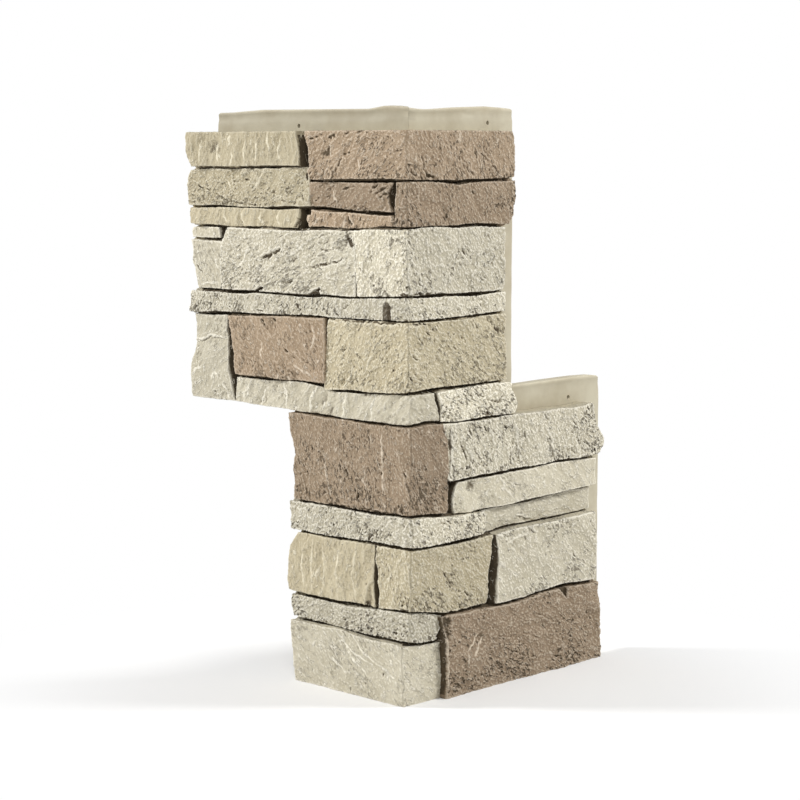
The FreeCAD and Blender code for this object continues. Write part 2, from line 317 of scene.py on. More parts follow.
def shape_outline(stone, start, end, foot, head, low, high, turns, on_left):
    """Pull the points of the coarse block onto the joints and the broken ends of the stone."""
    rows = np.linspace(0, 1, len(start))
    end_rows = np.linspace(0, 1, len(end))
    mean_start = float(np.mean(start))
    mean_end = float(np.mean(end))
    edit(stone)
    cage = bmesh.from_edit_mesh(stone.data)
    groups = {}
    for vertex in cage.verts:
        x, y, z = (value / MM for value in vertex.co)
        left = on_left if not turns else (x < ROOT + 0.5 or y < -ROOT - 0.5) and not y > -ROOT + 0.5
        run = x - FACE if left else y + FACE
        groups.setdefault((left, round(run, 2), round(z, 2)), []).append(vertex.index)
    cage.verts.ensure_lookup_table()
    bpy.context.tool_settings.mesh_select_mode = (True, False, False)
    for (left, run, height), members in groups.items():
        row = (height - low) / (high - low)
        first = float(np.interp(row, rows, start)) - mean_start
        last = float(np.interp(row, end_rows, end)) - mean_end
        if turns and left:
            along = first * min(1.0, max(0.0, run / mean_start))
        elif turns:
            along = last * min(1.0, max(0.0, run / mean_end))
        else:
            share = (run - mean_start) / (mean_end - mean_start)
            along = first * (1 - share) + last * share
        bottom = foot.at(run + along) + half_joint(run, foot.at(0) + OTHER_SIDE)
        top = head.at(run + along) - half_joint(run, head.at(0))
        climb = bottom + (top - bottom) * row - height
        bpy.ops.mesh.select_all(action="DESELECT")
        for member in members:
            cage.verts[member].select_set(True)
        move = (along, 0, climb) if left else (0, along, climb)
        bpy.ops.transform.translate(value=[distance * MM for distance in move])
    done()


def close_back(stone):
    """Make the hidden back of a stone one flat face on each leg."""
    edit(stone)
    back = ROOT * MM

    def back_of_left(face):
        return face.normal.y > 0.9 and abs(face.calc_center_median().y + back) < 1e-5

    def back_of_right(face):
        return face.normal.x < -0.9 and abs(face.calc_center_median().x - back) < 1e-5

    for at_back in (back_of_left, back_of_right):
        pick(stone, "faces", at_back)
        bpy.ops.mesh.dissolve_faces()
    done()


class Place:
    """Where every vertex of a stone lies on the unfolded facing."""

    def __init__(self, stone, out_left, out_right, turns, on_left):
        places = points_of(stone.data) / MM
        behind_left = out_left + places[:, 1]
        behind_right = out_right - places[:, 0]
        self.behind_left = behind_left
        self.behind_right = behind_right
        if turns:
            self.left = behind_left < behind_right
            self.depth = np.minimum(behind_left, behind_right)
            self.past_arris = np.maximum(behind_left, behind_right)
        else:
            self.left = np.full(len(places), on_left)
            self.depth = behind_left if on_left else behind_right
            self.past_arris = np.full(len(places), FAR)
        self.run = np.where(self.left, places[:, 0] - FACE, places[:, 1] + FACE)
        self.height = places[:, 2]

    def wander(self, stone):
        """Make the lines that are drawn on the facing a little unsteady."""
        self.steady = (self.run, self.height)  # recesses keep to these
        moves = np.array([noise.noise_vector(spot) for spot in points_of(stone.data) / (4.5 * MM)])
        self.run = self.run + 1.5 * np.where(self.left, moves[:, 0], moves[:, 1])
        self.height = self.height + 1.5 * moves[:, 2]
        self.broken = 0.35 + 0.65 * ease(np.where(self.left, moves[:, 1], moves[:, 0]), -0.35, 0.15)


def nearest(place, points):
    """For every vertex: how far it is from a line of points, how far to the right of it, and how far along it."""
    away = np.full(len(place.run), FAR)
    beyond = np.zeros(len(place.run))
    along = np.zeros(len(place.run))
    lengths = [math.dist(a, b) for a, b in zip(points, points[1:])]
    done_before = 0.0
    for (run_a, high_a), (run_b, high_b), length in zip(points, points[1:], lengths):
        east, north = (run_b - run_a) / length, (high_b - high_a) / length
        offset_run = place.run - run_a
        offset_high = place.height - high_a
        on = np.clip(offset_run * east + offset_high * north, 0, length)
        gap = np.hypot(offset_run - on * east, offset_high - on * north)
        closer = gap < away
        away = np.where(closer, gap, away)
        beyond = np.where(closer, offset_run * north - offset_high * east, beyond)
        along = np.where(closer, (done_before + on) / sum(lengths), along)
        done_before += length
    return away, beyond, along


def groove(place, points, width, depth, dark=0.0):
    """A crack along a line of points, widest halfway."""
    away, _, along = nearest(place, points)
    shape = (1 - ease(away / (0.55 + 0.45 * np.sin(math.pi * along)), 0.2, width)) * place.broken
    return -depth * shape, dark * shape


def flake(place, points, fade, depth, dark):
    """A step down to the right of a line of points, which fades back to the face beyond it, with painted shade
    along the foot of the step.
    """
    away, beyond, along = nearest(place, points)
    spread = np.sqrt(np.sin(math.pi * along)) * (away < fade + 1)
    step = ease(beyond, -0.4, 0.9) * (1 - ease(away, 1.5, fade)) * spread
    # Painted shade in a band just below the step
    return -depth * step, dark * (1 - ease(abs(beyond - 0.6), 0.2, 2.2)) * (away < 3) * spread


def drop(place, points, width, depth, dark):
    """Everything to the right of the line through two points sinks, over a width."""
    (run_a, high_a), (run_b, high_b) = points
    length = math.dist(*points)
    beyond = ((place.run - run_a) * (high_b - high_a) - (place.height - high_a) * (run_b - run_a)) / length
    sunk = ease(beyond, 0, width)
    return -depth * sunk, dark * sunk


def pocket(place, corners, width, depth, dark):
    """A recess with the outline of a shape with straight sides, drawn through its corners against the clock."""
    runs, heights = place.steady
    inside = np.full(len(runs), FAR)
    for (run_a, high_a), (run_b, high_b) in zip(corners, corners[1:] + corners[:1]):
        length = math.hypot(run_b - run_a, high_b - high_a)
        off = ((run_b - run_a) * (heights - high_a) - (high_b - high_a) * (runs - run_a)) / length
        inside = np.minimum(inside, off)
    shape = ease(inside, 0, width)
    return -depth * shape, dark * shape


# Kinds of marks: the cut, its width, its depth and how dark it is painted: washed dark along cracks, painted shade at
# the foot of flakes and steps
CUTS = {
    "fine": (groove, 1.7, 0.8, 0.35),
    "plain": (groove, 2.1, 1.3, 0.6),
    "deep": (groove, 2.6, 1.9, 0.9),
    "flakes": (flake, 12, 0.9, 0.05),
    "steps": (flake, 13, 2.2, 0.5),
    "drops": (drop, 7, 3.6, 0.0),
    "crests": (groove, 2.0, -CREST, 0.0),
}


def lit_lip(place, points):
    """1 along the edge above a flake, which catches the light, and 0 away from it."""
    away, beyond, along = nearest(place, points)
    lip = (1 - ease(abs(beyond + 1.0), 0.5, 2.1)) * (away < 3.5) * np.sqrt(np.sin(math.pi * along))
    return lip * place.broken


def carve(place, marks):
    """The relief in mm, the darkening and the pale edges of all the marks listed for a stone. The darkening is
    washed into cracks and recesses and is painted shade at the foot of flake steps; the pale edges are pale
    crests and a painted highlight on the lips above flakes.
    """
    relief = np.zeros(len(place.run))
    darkening = np.zeros(len(place.run))
    edge = np.zeros(len(place.run))
    for kind, lines in marks.items():
        for line in lines:
            if kind == "pockets":
                line, depth, dark = line
                cut, width = pocket, 1.2
            else:
                cut, width, depth, dark = CUTS[kind]
            points = list(zip(line[::2], line[1::2]))
            pressed, darkened = cut(place, points, width, depth, dark)
            relief += pressed
            darkening = np.maximum(darkening, darkened)
            if cut is flake:
                edge = np.maximum(edge, lit_lip(place, points))
            elif kind == "crests":
                edge = np.maximum(edge, pressed / CREST)
    return relief, darkening, edge


def patches(stone, size):
    """Soft blotches of 0 to 1 over a stone, of about the size given in mm."""
    return np.array([0.5 + 0.5 * noise.noise(spot) for spot in points_of(stone.data) / (size * MM)])


def dress(stone, place, turns, on_left, lean, look):
    """Chisel a stone with the coats of its look and chip its rims; returns where it is rough, 0 to 1."""
    skin = 1 - 0.65 * ease(place.depth, 2, 7)
    rise = (place.height - place.height.min()) / (place.height.max() - place.height.min())
    low_down = 1 - look["pit_foot"] * ease(rise, 0.10, 0.5)
    blotch = patches(stone, 26)
    rough_patch = ease(blotch + 0.16 * (1 - rise) * (look["pit_foot"] > 0), 0.46, 0.68)
    smooth_patch = 1 - 0.8 * rough_patch
    legs = []
    if turns or on_left:
        legs.append(("Y", -1, lean[0], place.left, place.behind_left))
    if turns or not on_left:
        legs.append(("X", 1, lean[-1], ~place.left, place.behind_right))
    for axis, outward, angle, side, behind in legs:
        face = 1 - ease(behind, 3, 20)
        weigh(stone, axis + "_face", face)
        weigh(stone, axis + "_calm", face * smooth_patch)
        weigh(stone, axis + "_skin", skin * side)
        weigh(stone, axis + "_rough", skin * side * low_down * rough_patch)
        along = grain(axis == "Y", angle, look["stretch"])
        for texture, kind, out_or_in, level, group, straight in COATS:
            if look[kind]:
                settings = {"direction": axis} if straight else {}
                strength = out_or_in * look[kind] * MM * (outward if straight else 1)
                finish_with(stone, "DISPLACE", texture=texture, texture_coords="OBJECT", texture_coords_object=along,
                            strength=strength, mid_level=level, vertex_group=axis + group, **settings)
        bpy.data.objects.remove(along)
    finish_with(stone, "DISPLACE", texture=CHIP, texture_coords="LOCAL", strength=-CHIPPING * MM,
                mid_level=0.0, vertex_group="rim")
    return rough_patch * low_down


def settle(places, edges, rounds):
    """Places of the vertices after so many rounds of smoothing."""
    count = len(places)
    degree = np.bincount(edges.ravel(), minlength=count)[:, None]
    for _ in range(rounds):
        total = np.empty_like(places)
        for axis in range(3):
            total[:, axis] = np.bincount(edges[:, 0], places[edges[:, 1], axis], count)
            total[:, axis] += np.bincount(edges[:, 1], places[edges[:, 0], axis], count)
        places = 0.5 * places + 0.5 * total / degree
    return places


def note(piece, name, values):
    """Keep one number per vertex for the paint."""
    attribute = piece.data.attributes.new(name, "FLOAT", "POINT")
    attribute.data.foreach_set("value", values.astype(np.float32))


def note_relief(piece, face_only, cut):
    """Keep how far each point lies below the surface round it, at two sizes, in mm, and how dark the cuts are
    painted: washed dark in cracks and recesses, painted shade at the foot of flake steps.
    """
    mesh = piece.data
    places = points_of(mesh)
    normals = normals_of(mesh)
    edges = np.empty(len(mesh.edges) * 2, dtype=np.int64)
    mesh.edges.foreach_get("vertices", edges)
    edges = edges.reshape(-1, 2)
    near = settle(places, edges, 6)
    far = settle(near, edges, 40)
    note(piece, "pit", ((near - places) * normals).sum(1) / MM * face_only)
    note(piece, "hollow", ((far - near) * normals).sum(1) / MM * face_only)
    note(piece, "cut", cut)


def level_faces(stone, place, out_left, out_right):
    """Bring each chiselled face back to the mean stand that it was laid at."""
    places = points_of(stone.data) / MM
    front = place.depth < 0.4
    legs = (("Y", -1, place.left, out_left + places[:, 1]), ("X", 1, ~place.left, out_right - places[:, 0]))
    for axis, outward, side, behind in legs:
        if (front & side).any():
            back_by = behind[front & side].mean()
            press(stone, "level_" + axis, outward * back_by * (1 - ease(behind, 4, 20)) * side, axis)


def note_grain(piece, place, lean):
    """Keep for each point its distance across and along the grain of each leg and into the stone, in metres."""
    places = points_of(piece.data)
    for name, side, inward, angle in (("grain_left", 0, 1, lean[0]), ("grain_right", 1, 0, lean[-1])):
        turn = math.radians(angle)
        across = places[:, side] * math.cos(turn) - places[:, 2] * math.sin(turn)
        along = places[:, side] * math.sin(turn) + places[:, 2] * math.cos(turn)
        attribute = piece.data.attributes.new(name, "FLOAT_VECTOR", "POINT")
        lines = np.stack([across, along, places[:, inward]], axis=1)
        attribute.data.foreach_set("vector", lines.astype(np.float32).ravel())
    if len(set(place.left)) > 1:
        note(piece, "leg", ease(place.behind_left - place.behind_right, -1.5, 1.5))
    else:
        note(piece, "leg", 1.0 - place.left)


def close_joints(stone, place, foot, head, ledge_depth):
    """Behind its front rim, and behind the ledge on its head, a stone meets the ones below and above it."""
    low = np.array([foot.at(run) for run in place.run])
    high = np.array([head.at(run) for run in place.run])
    rise = np.clip((place.height - low) / (high - low), 0, 1)
    free_foot = (foot.at(0) < 1) | ((abs(foot.at(0) - STEP) < 2) & ((place.run < -181) | (place.run > 162)))
    free_head = (head.at(0) > TOP - 1) | ((abs(head.at(0) - STEP) < 2) & (place.run > 158))
    down = (1 - rise) * ease(place.depth, 4.5, 7) * ~free_foot
    up = rise * ease(place.depth, ledge_depth + 2.5, ledge_depth + 5) * ~free_head
    press(stone, "close", 1.7 * HALF_JOINT * (up - down), "Z")


def exposed(place):
    """1 on the sides of a stone that no other stone covers: the foot, the head, the outer ends and the step."""
    upper = place.height > STEP + 2
    left_end = np.where(upper, STONES_LEFT[1], STONES_LEFT[0])
    right_end = np.where(upper, STONES_RIGHT[1], STONES_RIGHT[0])
    at_end = (place.run < left_end + 16) | (place.run > right_end - 16)
    at_foot = place.height < 4
    at_head = place.height > TOP - 4
    under_step = (place.run < -180) & (abs(place.height - STEP) < 5)
    over_step = (place.run > 158) & (abs(place.height - STEP) < 5)
    return (at_end | at_foot | at_head | under_step | over_step).astype(float)


def lay_stone(name, paint, look, start, end, foot, head, stand, lean, shelf=(2.0, 2.0), tone_and_painted_light=(0.0,)):
    """One stone of the facing, from its plain block to its painted skin.

    start and end are the runs of its left and right ends, listed from the foot to the head. The others are
    given for the left leg and the right leg, or once: stand is how far its face stands out from the bed,
    lean is the slant of its grain in degrees, shelf is how deep the ledge on its head stays open, and tone
    is how much lighter than its paint it is; where the tone differs between the legs, that difference is
    painted light and shade for how the lamps fall on each leg.
    """
    out_left = BED + stand[0]
    out_right = BED + stand[-1]
    mean_start = float(np.mean(start))
    mean_end = float(np.mean(end))
    turns = mean_start < 0 < mean_end
    on_left = mean_end < 0
    middle = 0.0 if turns else (mean_start + mean_end) / 2
    low = foot.at(middle)
    high = head.at(middle)
    stone = lay_block(name, mean_start, mean_end, low, high, out_left, out_right)
    edit(stone)
    inner = ROOT * MM + 1e-5
    comb(stone, 2, ROW)
    if turns:
        comb(stone, 0, COLUMN, lambda edge: max(v.co.x for v in edge.verts) < inner)
        comb(stone, 1, COLUMN, lambda edge: min(v.co.y for v in edge.verts) > -inner)
    else:
        comb(stone, 0 if on_left else 1, COLUMN)
    done()
    shape_outline(stone, start, end, foot, head, low, high, turns, on_left)
    edit(stone)
    if turns:
        comb(stone, 0, CELL)
        comb(stone, 1, CELL)
    else:
        comb(stone, 0 if on_left else 1, CELL)
        comb(stone, 1 if on_left else 0, SIDE_CELL)
    comb(stone, 2, CELL)
    done()
    close_back(stone)
    place = Place(stone, out_left, out_right, turns, on_left)
    off_foot = ease(place.height, 0.5, 5.5)
    front = weigh(stone, "front", (1 - ease(place.depth, 7, 12)) * off_foot)
    finish_with(stone, "SMOOTH", factor=0.5, iterations=4, vertex_group=front)
    if turns:
        at_arris = (1 - ease(place.past_arris, 6, 11)) * (1 - ease(place.depth, 7, 12))
        arris = weigh(stone, "arris", at_arris * (0.25 + 0.75 * off_foot))
        finish_with(stone, "SMOOTH", factor=0.5, iterations=22, vertex_group=arris)
    place = Place(stone, out_left, out_right, turns, on_left)
    rim_depth = ease(place.depth, 0.15, 1.2) * (1 - ease(place.depth, 5, 9))
    if turns:
        rim_depth = rim_depth * ease(place.past_arris, 6, 12)
    weigh(stone, "rim", rim_depth)
    ledge_depth = np.where(place.left, shelf[0], shelf[-1])
    close_joints(stone, place, foot, head, ledge_depth)
    place.wander(stone)
    # The marks darken cracks and recesses, paint shade at the foot of flake steps and paint a highlight on the lips
    # above flakes
    relief, darkening, edge = carve(place, MARKS.get(name, {}))
    relief = relief * (1 - ease(place.depth, 5, 10))
    darkening = darkening * (1 - ease(place.depth, 3, 6))
    press(stone, "cut_left", np.where(place.left, -relief, 0), "Y")
    press(stone, "cut_right", np.where(place.left, 0, relief), "X")
    face_only = (1 - ease(place.depth, 0.1, 0.9)) * ease(place.past_arris, 0, 2.5)
    rough = dress(stone, place, turns, on_left, lean, look)
    level_faces(stone, place, out_left, out_right)
    note_relief(stone, face_only, darkening)
    # Pale crests, and a painted highlight along the lips above flakes
    note(stone, "edge", edge * face_only)
    place = Place(stone, out_left, out_right, turns, on_left)
    open_side = exposed(place)
    note(stone, "rough", rough)
    # Each stone's own tone; on a turned stone the tone differs per leg, painted light and shade for how the lamps fall
    # on each leg
    note(stone, "tone_and_painted_light", np.where(place.left, tone_and_painted_light[0], tone_and_painted_light[-1]))
    note(stone, "coarse", np.full(len(place.run), look["coarse"]))
    note_grain(stone, place, lean)
    upward = ease(normals_of(stone.data)[:, 2], 0.35, 0.7)
    dark_from = 1.2 + (ledge_depth - 1.2) * upward
    off_back = np.where(place.left, out_left - place.behind_left, out_right - place.behind_right) - ROOT
    at_back = 1 - ease(off_back, 1.8, 3.4)
    note(stone, "joint", ease(place.depth, dark_from, dark_from + 2.5) * (1 - open_side) * (1 - at_back))
    note(stone, "bare", np.maximum(ease(place.depth, 7.0, 16.0) * open_side, at_back))
    stone.data.materials.append(paint)
    only(stone)
    bpy.ops.object.shade_smooth()
    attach(stone, "root")
    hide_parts("corner_panel")


# ---------------------------------------------------------------- paints


class Wire:
    """An output of a shader node that can be used in Python sums."""

    def __init__(self, paint, socket):
        self.paint = paint
        self.socket = socket

    def maths(self, operation, *values):
        return self.paint.node("ShaderNodeMath", {"operation": operation}, dict(enumerate(values)))["Value"]

    def __add__(self, other):
        return self.maths("ADD", self, other)

    def __radd__(self, other):
        return self.maths("ADD", other, self)

    def __sub__(self, other):
        return self.maths("SUBTRACT", self, other)

    def __rsub__(self, other):
        return self.maths("SUBTRACT", other, self)

    def __mul__(self, other):
        return self.maths("MULTIPLY", self, other)

    def __rmul__(self, other):
        return self.maths("MULTIPLY", other, self)

    def size(self):
        return self.maths("ABSOLUTE", self)

    def either(self, other):
        return self.maths("MAXIMUM", self, other)

    def climb(self, low, high):
        """0 below low, 1 above high, smooth between."""
        settings = {"interpolation_type": "SMOOTHSTEP"}
        values = {"Value": self, "From Min": low, "From Max": high, "To Min": 0.0, "To Max": 1.0}
        return self.paint.node("ShaderNodeMapRange", settings, values)["Result"]


class Node:
    """A shader node whose outputs are wires."""

    def __init__(self, paint, made):
        self.paint = paint
        self.made = made

    def __getitem__(self, name):
        return Wire(self.paint, self.made.outputs[name])


class Paint:
    """The nodes of a material or of the world."""

    def __init__(self, owner):
        self.owner = owner
        self.owner.use_nodes = True
        self.tree = owner.node_tree
        self.tree.nodes.clear()

    def node(self, kind, settings=None, values=None):
        made = self.tree.nodes.new(kind)
        for key, value in (settings or {}).items():
            setattr(made, key, value)
        for key, value in (values or {}).items():
            if isinstance(value, Wire):
                self.tree.links.new(value.socket, made.inputs[key])
            else:
                made.inputs[key].default_value = value
        return Node(self, made)

    def mix(self, share, first, second):
        """A colour between two, by a share of 0 to 1."""
        return self.node("ShaderNodeMix", {"data_type": "RGBA"}, {0: share, 6: first, 7: second})[2]

    def shaded(self, colour):
        """The colour, lighter by the tone that the mesh keeps: own tone, and painted light and shade between legs and
        at lips.
        """
        values = {0: colour, "Scale": 1.0 + self.kept("tone_and_painted_light")}
        return self.node("ShaderNodeVectorMath", {"operation": "SCALE"}, values)["Vector"]

    def closed(self, colour, roughness, specular, height, strength, distance):
        """The finished material, with a bump from a height."""
        bump = {"Strength": strength, "Distance": distance, "Height": height}
        normal = self.node("ShaderNodeBump", {}, bump)["Normal"]
        values = {"Base Color": colour, "Roughness": roughness, "Normal": normal, "Specular IOR Level": specular}
        shader = self.node("ShaderNodeBsdfPrincipled", {}, values)["BSDF"]
        self.node("ShaderNodeOutputMaterial", {}, {"Surface": shader})
        return self.owner

    def noise(self, place, scale, detail=3.0, rough=0.55):
        values = {"Vector": place, "Scale": scale, "Detail": detail, "Roughness": rough}
        return self.node("ShaderNodeTexNoise", {}, values)["Fac"]

    def grain(self, name, stretch, scale):
        """Noise drawn out along the grain of one leg."""
        lines = self.node("ShaderNodeAttribute", {"attribute_name": name})["Vector"]
        values = {"Vector": lines, "Scale": (1.0, stretch, 1.0)}
        drawn_out = self.node("ShaderNodeMapping", {"vector_type": "TEXTURE"}, values)["Vector"]
        return self.noise(drawn_out, scale, 2.0, 0.6)

    def both_grains(self, stretch, scale):
        """The grain of the left leg on the left leg, and of the right leg on the right leg."""
        leg = self.kept("leg")
        return self.grain("grain_left", stretch, scale) * (1.0 - leg) + self.grain("grain_right", stretch, scale) * leg

    def kept(self, name):
        """A number that the mesh keeps for every vertex."""
        return self.node("ShaderNodeAttribute", {"attribute_name": name})["Fac"]


def tint(red, green, blue):
    """A colour as seen on screen, 0 to 255, as the shader wants it."""
    values = []
    for channel in (red, green, blue):
        share = channel / 255
        values.append(share / 12.92 if share <= 0.04045 else ((share + 0.055) / 1.055) ** 2.4)
    return (*values, 1.0)


# Dark brown of the stain in joints, pits and cracks, also used for painted shade at the foot of flake steps
STAIN_AND_SHADE = tint(78, 66, 48)
SKIN = tint(196, 187, 163)
WHITE = (1.0, 1.0, 1.0, 1.0)


def stone_paint(name, body, shade, pale, brushed=0.75, tick_darkness=0.43):
    """Matte paint on a stone: mottled body, pits and joints washed dark, dry-brushed crests, painted highlights on the
    lips above flakes, and painted shade at the foot of flake steps.
    """
    paint = Paint(bpy.data.materials.new(name))
    place = paint.node("ShaderNodeTexCoord")["Object"]
    coarse = paint.kept("coarse")
    pit = paint.kept("pit")
    cloud = paint.noise(place, 24, 2.0)
    mottle = paint.noise(place, 120, 4.0, 0.6)
    speckle = paint.noise(place, 420, 2.0, 0.6)
    hatch = paint.both_grains(2.2, 380)
    # Dark ticks along the grain, more where the stone is rough; the last argument of the paint sets how dark they are
    ticks = (hatch + paint.kept("rough") * 0.14 + (cloud - 0.5) * 0.3).climb(0.67, 0.75) * coarse
    dips = (1.0 - (speckle * 0.7 + hatch * 0.3)).climb(0.36, 0.66) * 0.45 * coarse
    crest = (speckle * 0.65 + hatch * 0.35 - pit * 2.0).climb(0.53, 0.95)
    darkening = (pit * 2.0 + paint.kept("hollow") * 0.1 + speckle * 0.5 + mottle * 0.3).climb(0.95, 1.9)
    # Dark joints, cracks and recesses, and painted shade at the foot of flake steps
    deep = (paint.kept("joint") + paint.kept("cut") + (speckle - 0.5) * 0.5).climb(0.15, 0.95)
    bare = (paint.kept("bare") + (mottle - 0.5) * 0.6).climb(0.3, 0.8)
    vein = paint.both_grains(3.0, 90)
    line = (1.0 - (vein - 0.5).size() * 24.0 - (1.0 - mottle.climb(0.42, 0.62))).climb(0.1, 0.9)
    # Pale grain lines and crests, and a painted highlight along the lips above flakes
    pale_lines_and_highlight = (line * (1.3 - coarse * 0.45) + paint.kept("edge") * 1.2).climb(0.0, 1.0)
    colour = paint.mix((cloud + mottle * 0.6).climb(0.50, 1.10), shade, body)
    colour = paint.mix(dips, colour, shade)
    colour = paint.mix(crest * brushed * coarse, colour, pale)
    colour = paint.mix(darkening * 0.85, colour, STAIN_AND_SHADE)
    colour = paint.mix(ticks * tick_darkness, colour, STAIN_AND_SHADE)
    colour = paint.mix(deep * 0.95, colour, STAIN_AND_SHADE)
    colour = paint.mix(bare, colour, SKIN)
    colour = paint.mix(pale_lines_and_highlight, paint.shaded(colour), pale)
    height = (speckle * 0.9 + hatch * 0.4 - ticks * 0.5) * coarse + line * 0.8
    return paint.closed(colour, 0.78 + (speckle - 0.5) * 0.2, 0.25, height, 1.0, 0.0012)


def back_paint():
    """The plain moulded skin of the flanges and the back, washed dark in the bed of the joints, and lighter or darker
    by the tone, which holds painted light and shade.
    """
    paint = Paint(bpy.data.materials.new("moulded_skin"))
    place = paint.node("ShaderNodeTexCoord")["Object"]
    cloud = paint.noise(place, 16, 2.0)
    mottle = paint.noise(place, 90, 4.0)
    grit = paint.noise(place, 900, 2.0)
    colour = paint.mix((cloud + mottle * 0.5).climb(0.5, 1.0), tint(172, 163, 141), tint(186, 179, 158))
    colour = paint.mix(grit.climb(0.55, 0.8) * 0.25, colour, tint(170, 162, 138))
    colour = paint.mix(paint.kept("joint"), paint.shaded(colour), STAIN_AND_SHADE)
    return paint.closed(colour, 0.62 + (mottle - 0.5) * 0.2, 0.3, mottle * 0.7 + grit * 0.3, 0.25, 0.0005)


CREAM = stone_paint("cream_stone", tint(200, 189, 161), tint(184, 172, 143), tint(222, 213, 189))
ROSE = stone_paint("rose_stone", tint(163, 144, 121), tint(146, 127, 104), tint(210, 195, 174), 0.38, 0.6)
GREY = stone_paint("grey_stone", tint(206, 199, 179), tint(190, 182, 160), tint(232, 226, 209), 0.85)
MOULDED = back_paint()


# ------------------------------------------------------------- joints and stones

FOOT = Line((-400, 0), (400, 0))
HEAD = Line((-400, TOP), (400, TOP))
FOOT_HEAD = Line((-190, 69.4), (-110, 69), (-70, 66.8), (-20, 66.8), (0, 67.5), (20, 65), (50, 63.5))
THIN_HEAD = Line(
    (-190, 98), (-155, 96.6), (-90, 97.2), (-50, 99), (0, 101), (15, 100), (30, 96.8), (50, 93), (70, 91.2),
    (95, 91.6), (108, 93), (130, 91.5)
)
BLOCK_HEAD = Line(
    (40, 91.5), (60, 91.5), (75, 90), (95, 90.5), (108, 91.5), (125, 90.2), (140, 88.9), (180, 89), (193, 91.2),
    (215, 92.6), (262, 93.3), (305, 91.2), (330, 91)
)
MIDDLE_HEAD = Line(
    (-190, 168.6), (-130, 168), (-85, 169), (0, 168.4), (12, 167.2), (60, 168.4), (115, 170), (135, 171)
)
PROUD_HEAD = Line((110, 170.5), (130, 170), (147, 171), (165, 171.5), (250, 171.8), (285, 173.5), (320, 174))
BAND_HEAD = Line((-190, 201.8), (-100, 202.4), (-50, 203), (0, 203.4), (30, 201.4), (60, 200), (125, 197.5))
SCAR_HEAD = Line((60, 197.5), (150, 197.2), (185, 197.8), (215, 199.4), (250, 200.8), (320, 202.4))
SLAB_HEAD = Line((50, 234.5), (100, 235.5), (180, 236), (250, 237), (320, 236.5))
STEP_JOINT = Line(
    (-360, 301), (-270, 302), (-190, 301), (-140, 299.8), (-85, 299), (-50, 299), (0, 300), (22, 301), (50, 299.6),
    (60, 298.8), (110, 299.4), (340, 300)
)
LEDGE_HEAD = Line((-285, 333.6), (-200, 334), (-160, 335.4), (-130, 335))
LEDGE_HEAD_CORNER = Line(
    (-128, 328.4), (-85, 329.4), (-50, 330.8), (-18, 332.4), (0, 333.2), (17, 334.4), (53, 335.8), (165, 336.8)
)
LEDGE_TOP = Line(
    (-285, 333.6), (-200, 334), (-160, 335.4), (-131, 335), (-126, 329.5), (-85, 329.4), (-50, 330.8), (-18, 332.4),
    (0, 333.2), (17, 334.4), (53, 335.8), (165, 336.8)
)
LARGE_HEAD = Line(
    (-360, 402), (-300, 403), (-235, 405), (-208, 406.5), (-165, 408), (-50, 408.8), (0, 410), (10, 409),
    (50, 409.4), (110, 411.5), (165, 412.8)
)
RUNNER_HEAD = Line(
    (-360, 428.6), (-300, 428.8), (-235, 430), (-170, 430.6), (-90, 431), (-50, 434), (0, 436.6), (50, 435.6),
    (95, 435), (165, 437)
)
CHIP_HEAD = Line((-360, 488.6), (-290, 487.6))
BROAD_HEAD = Line(
    (-360, 502), (-275, 502.3), (-190, 503.3), (-130, 503.4), (-85, 504.6), (-50, 506.6), (-10, 507.6), (0, 508),
    (30, 509), (100, 508.6), (165, 507)
)
STRIP_HEAD = Line(
    (-360, 525.4), (-300, 526), (-260, 525), (-200, 525.4), (-150, 526.4), (-120, 524.8), (-80, 523.4), (-20, 522)
)
CREASE_HEAD = Line((-360, 568.6), (-320, 570.3), (-240, 570.8), (-150, 571.6))
UNDER_CAP = Line(
    (-155, 555.5), (-120, 556.9), (-80, 557.2), (0, 557.4), (45, 557.2), (60, 556.4), (70, 554.4), (90, 556.8),
    (170, 557.2)
)

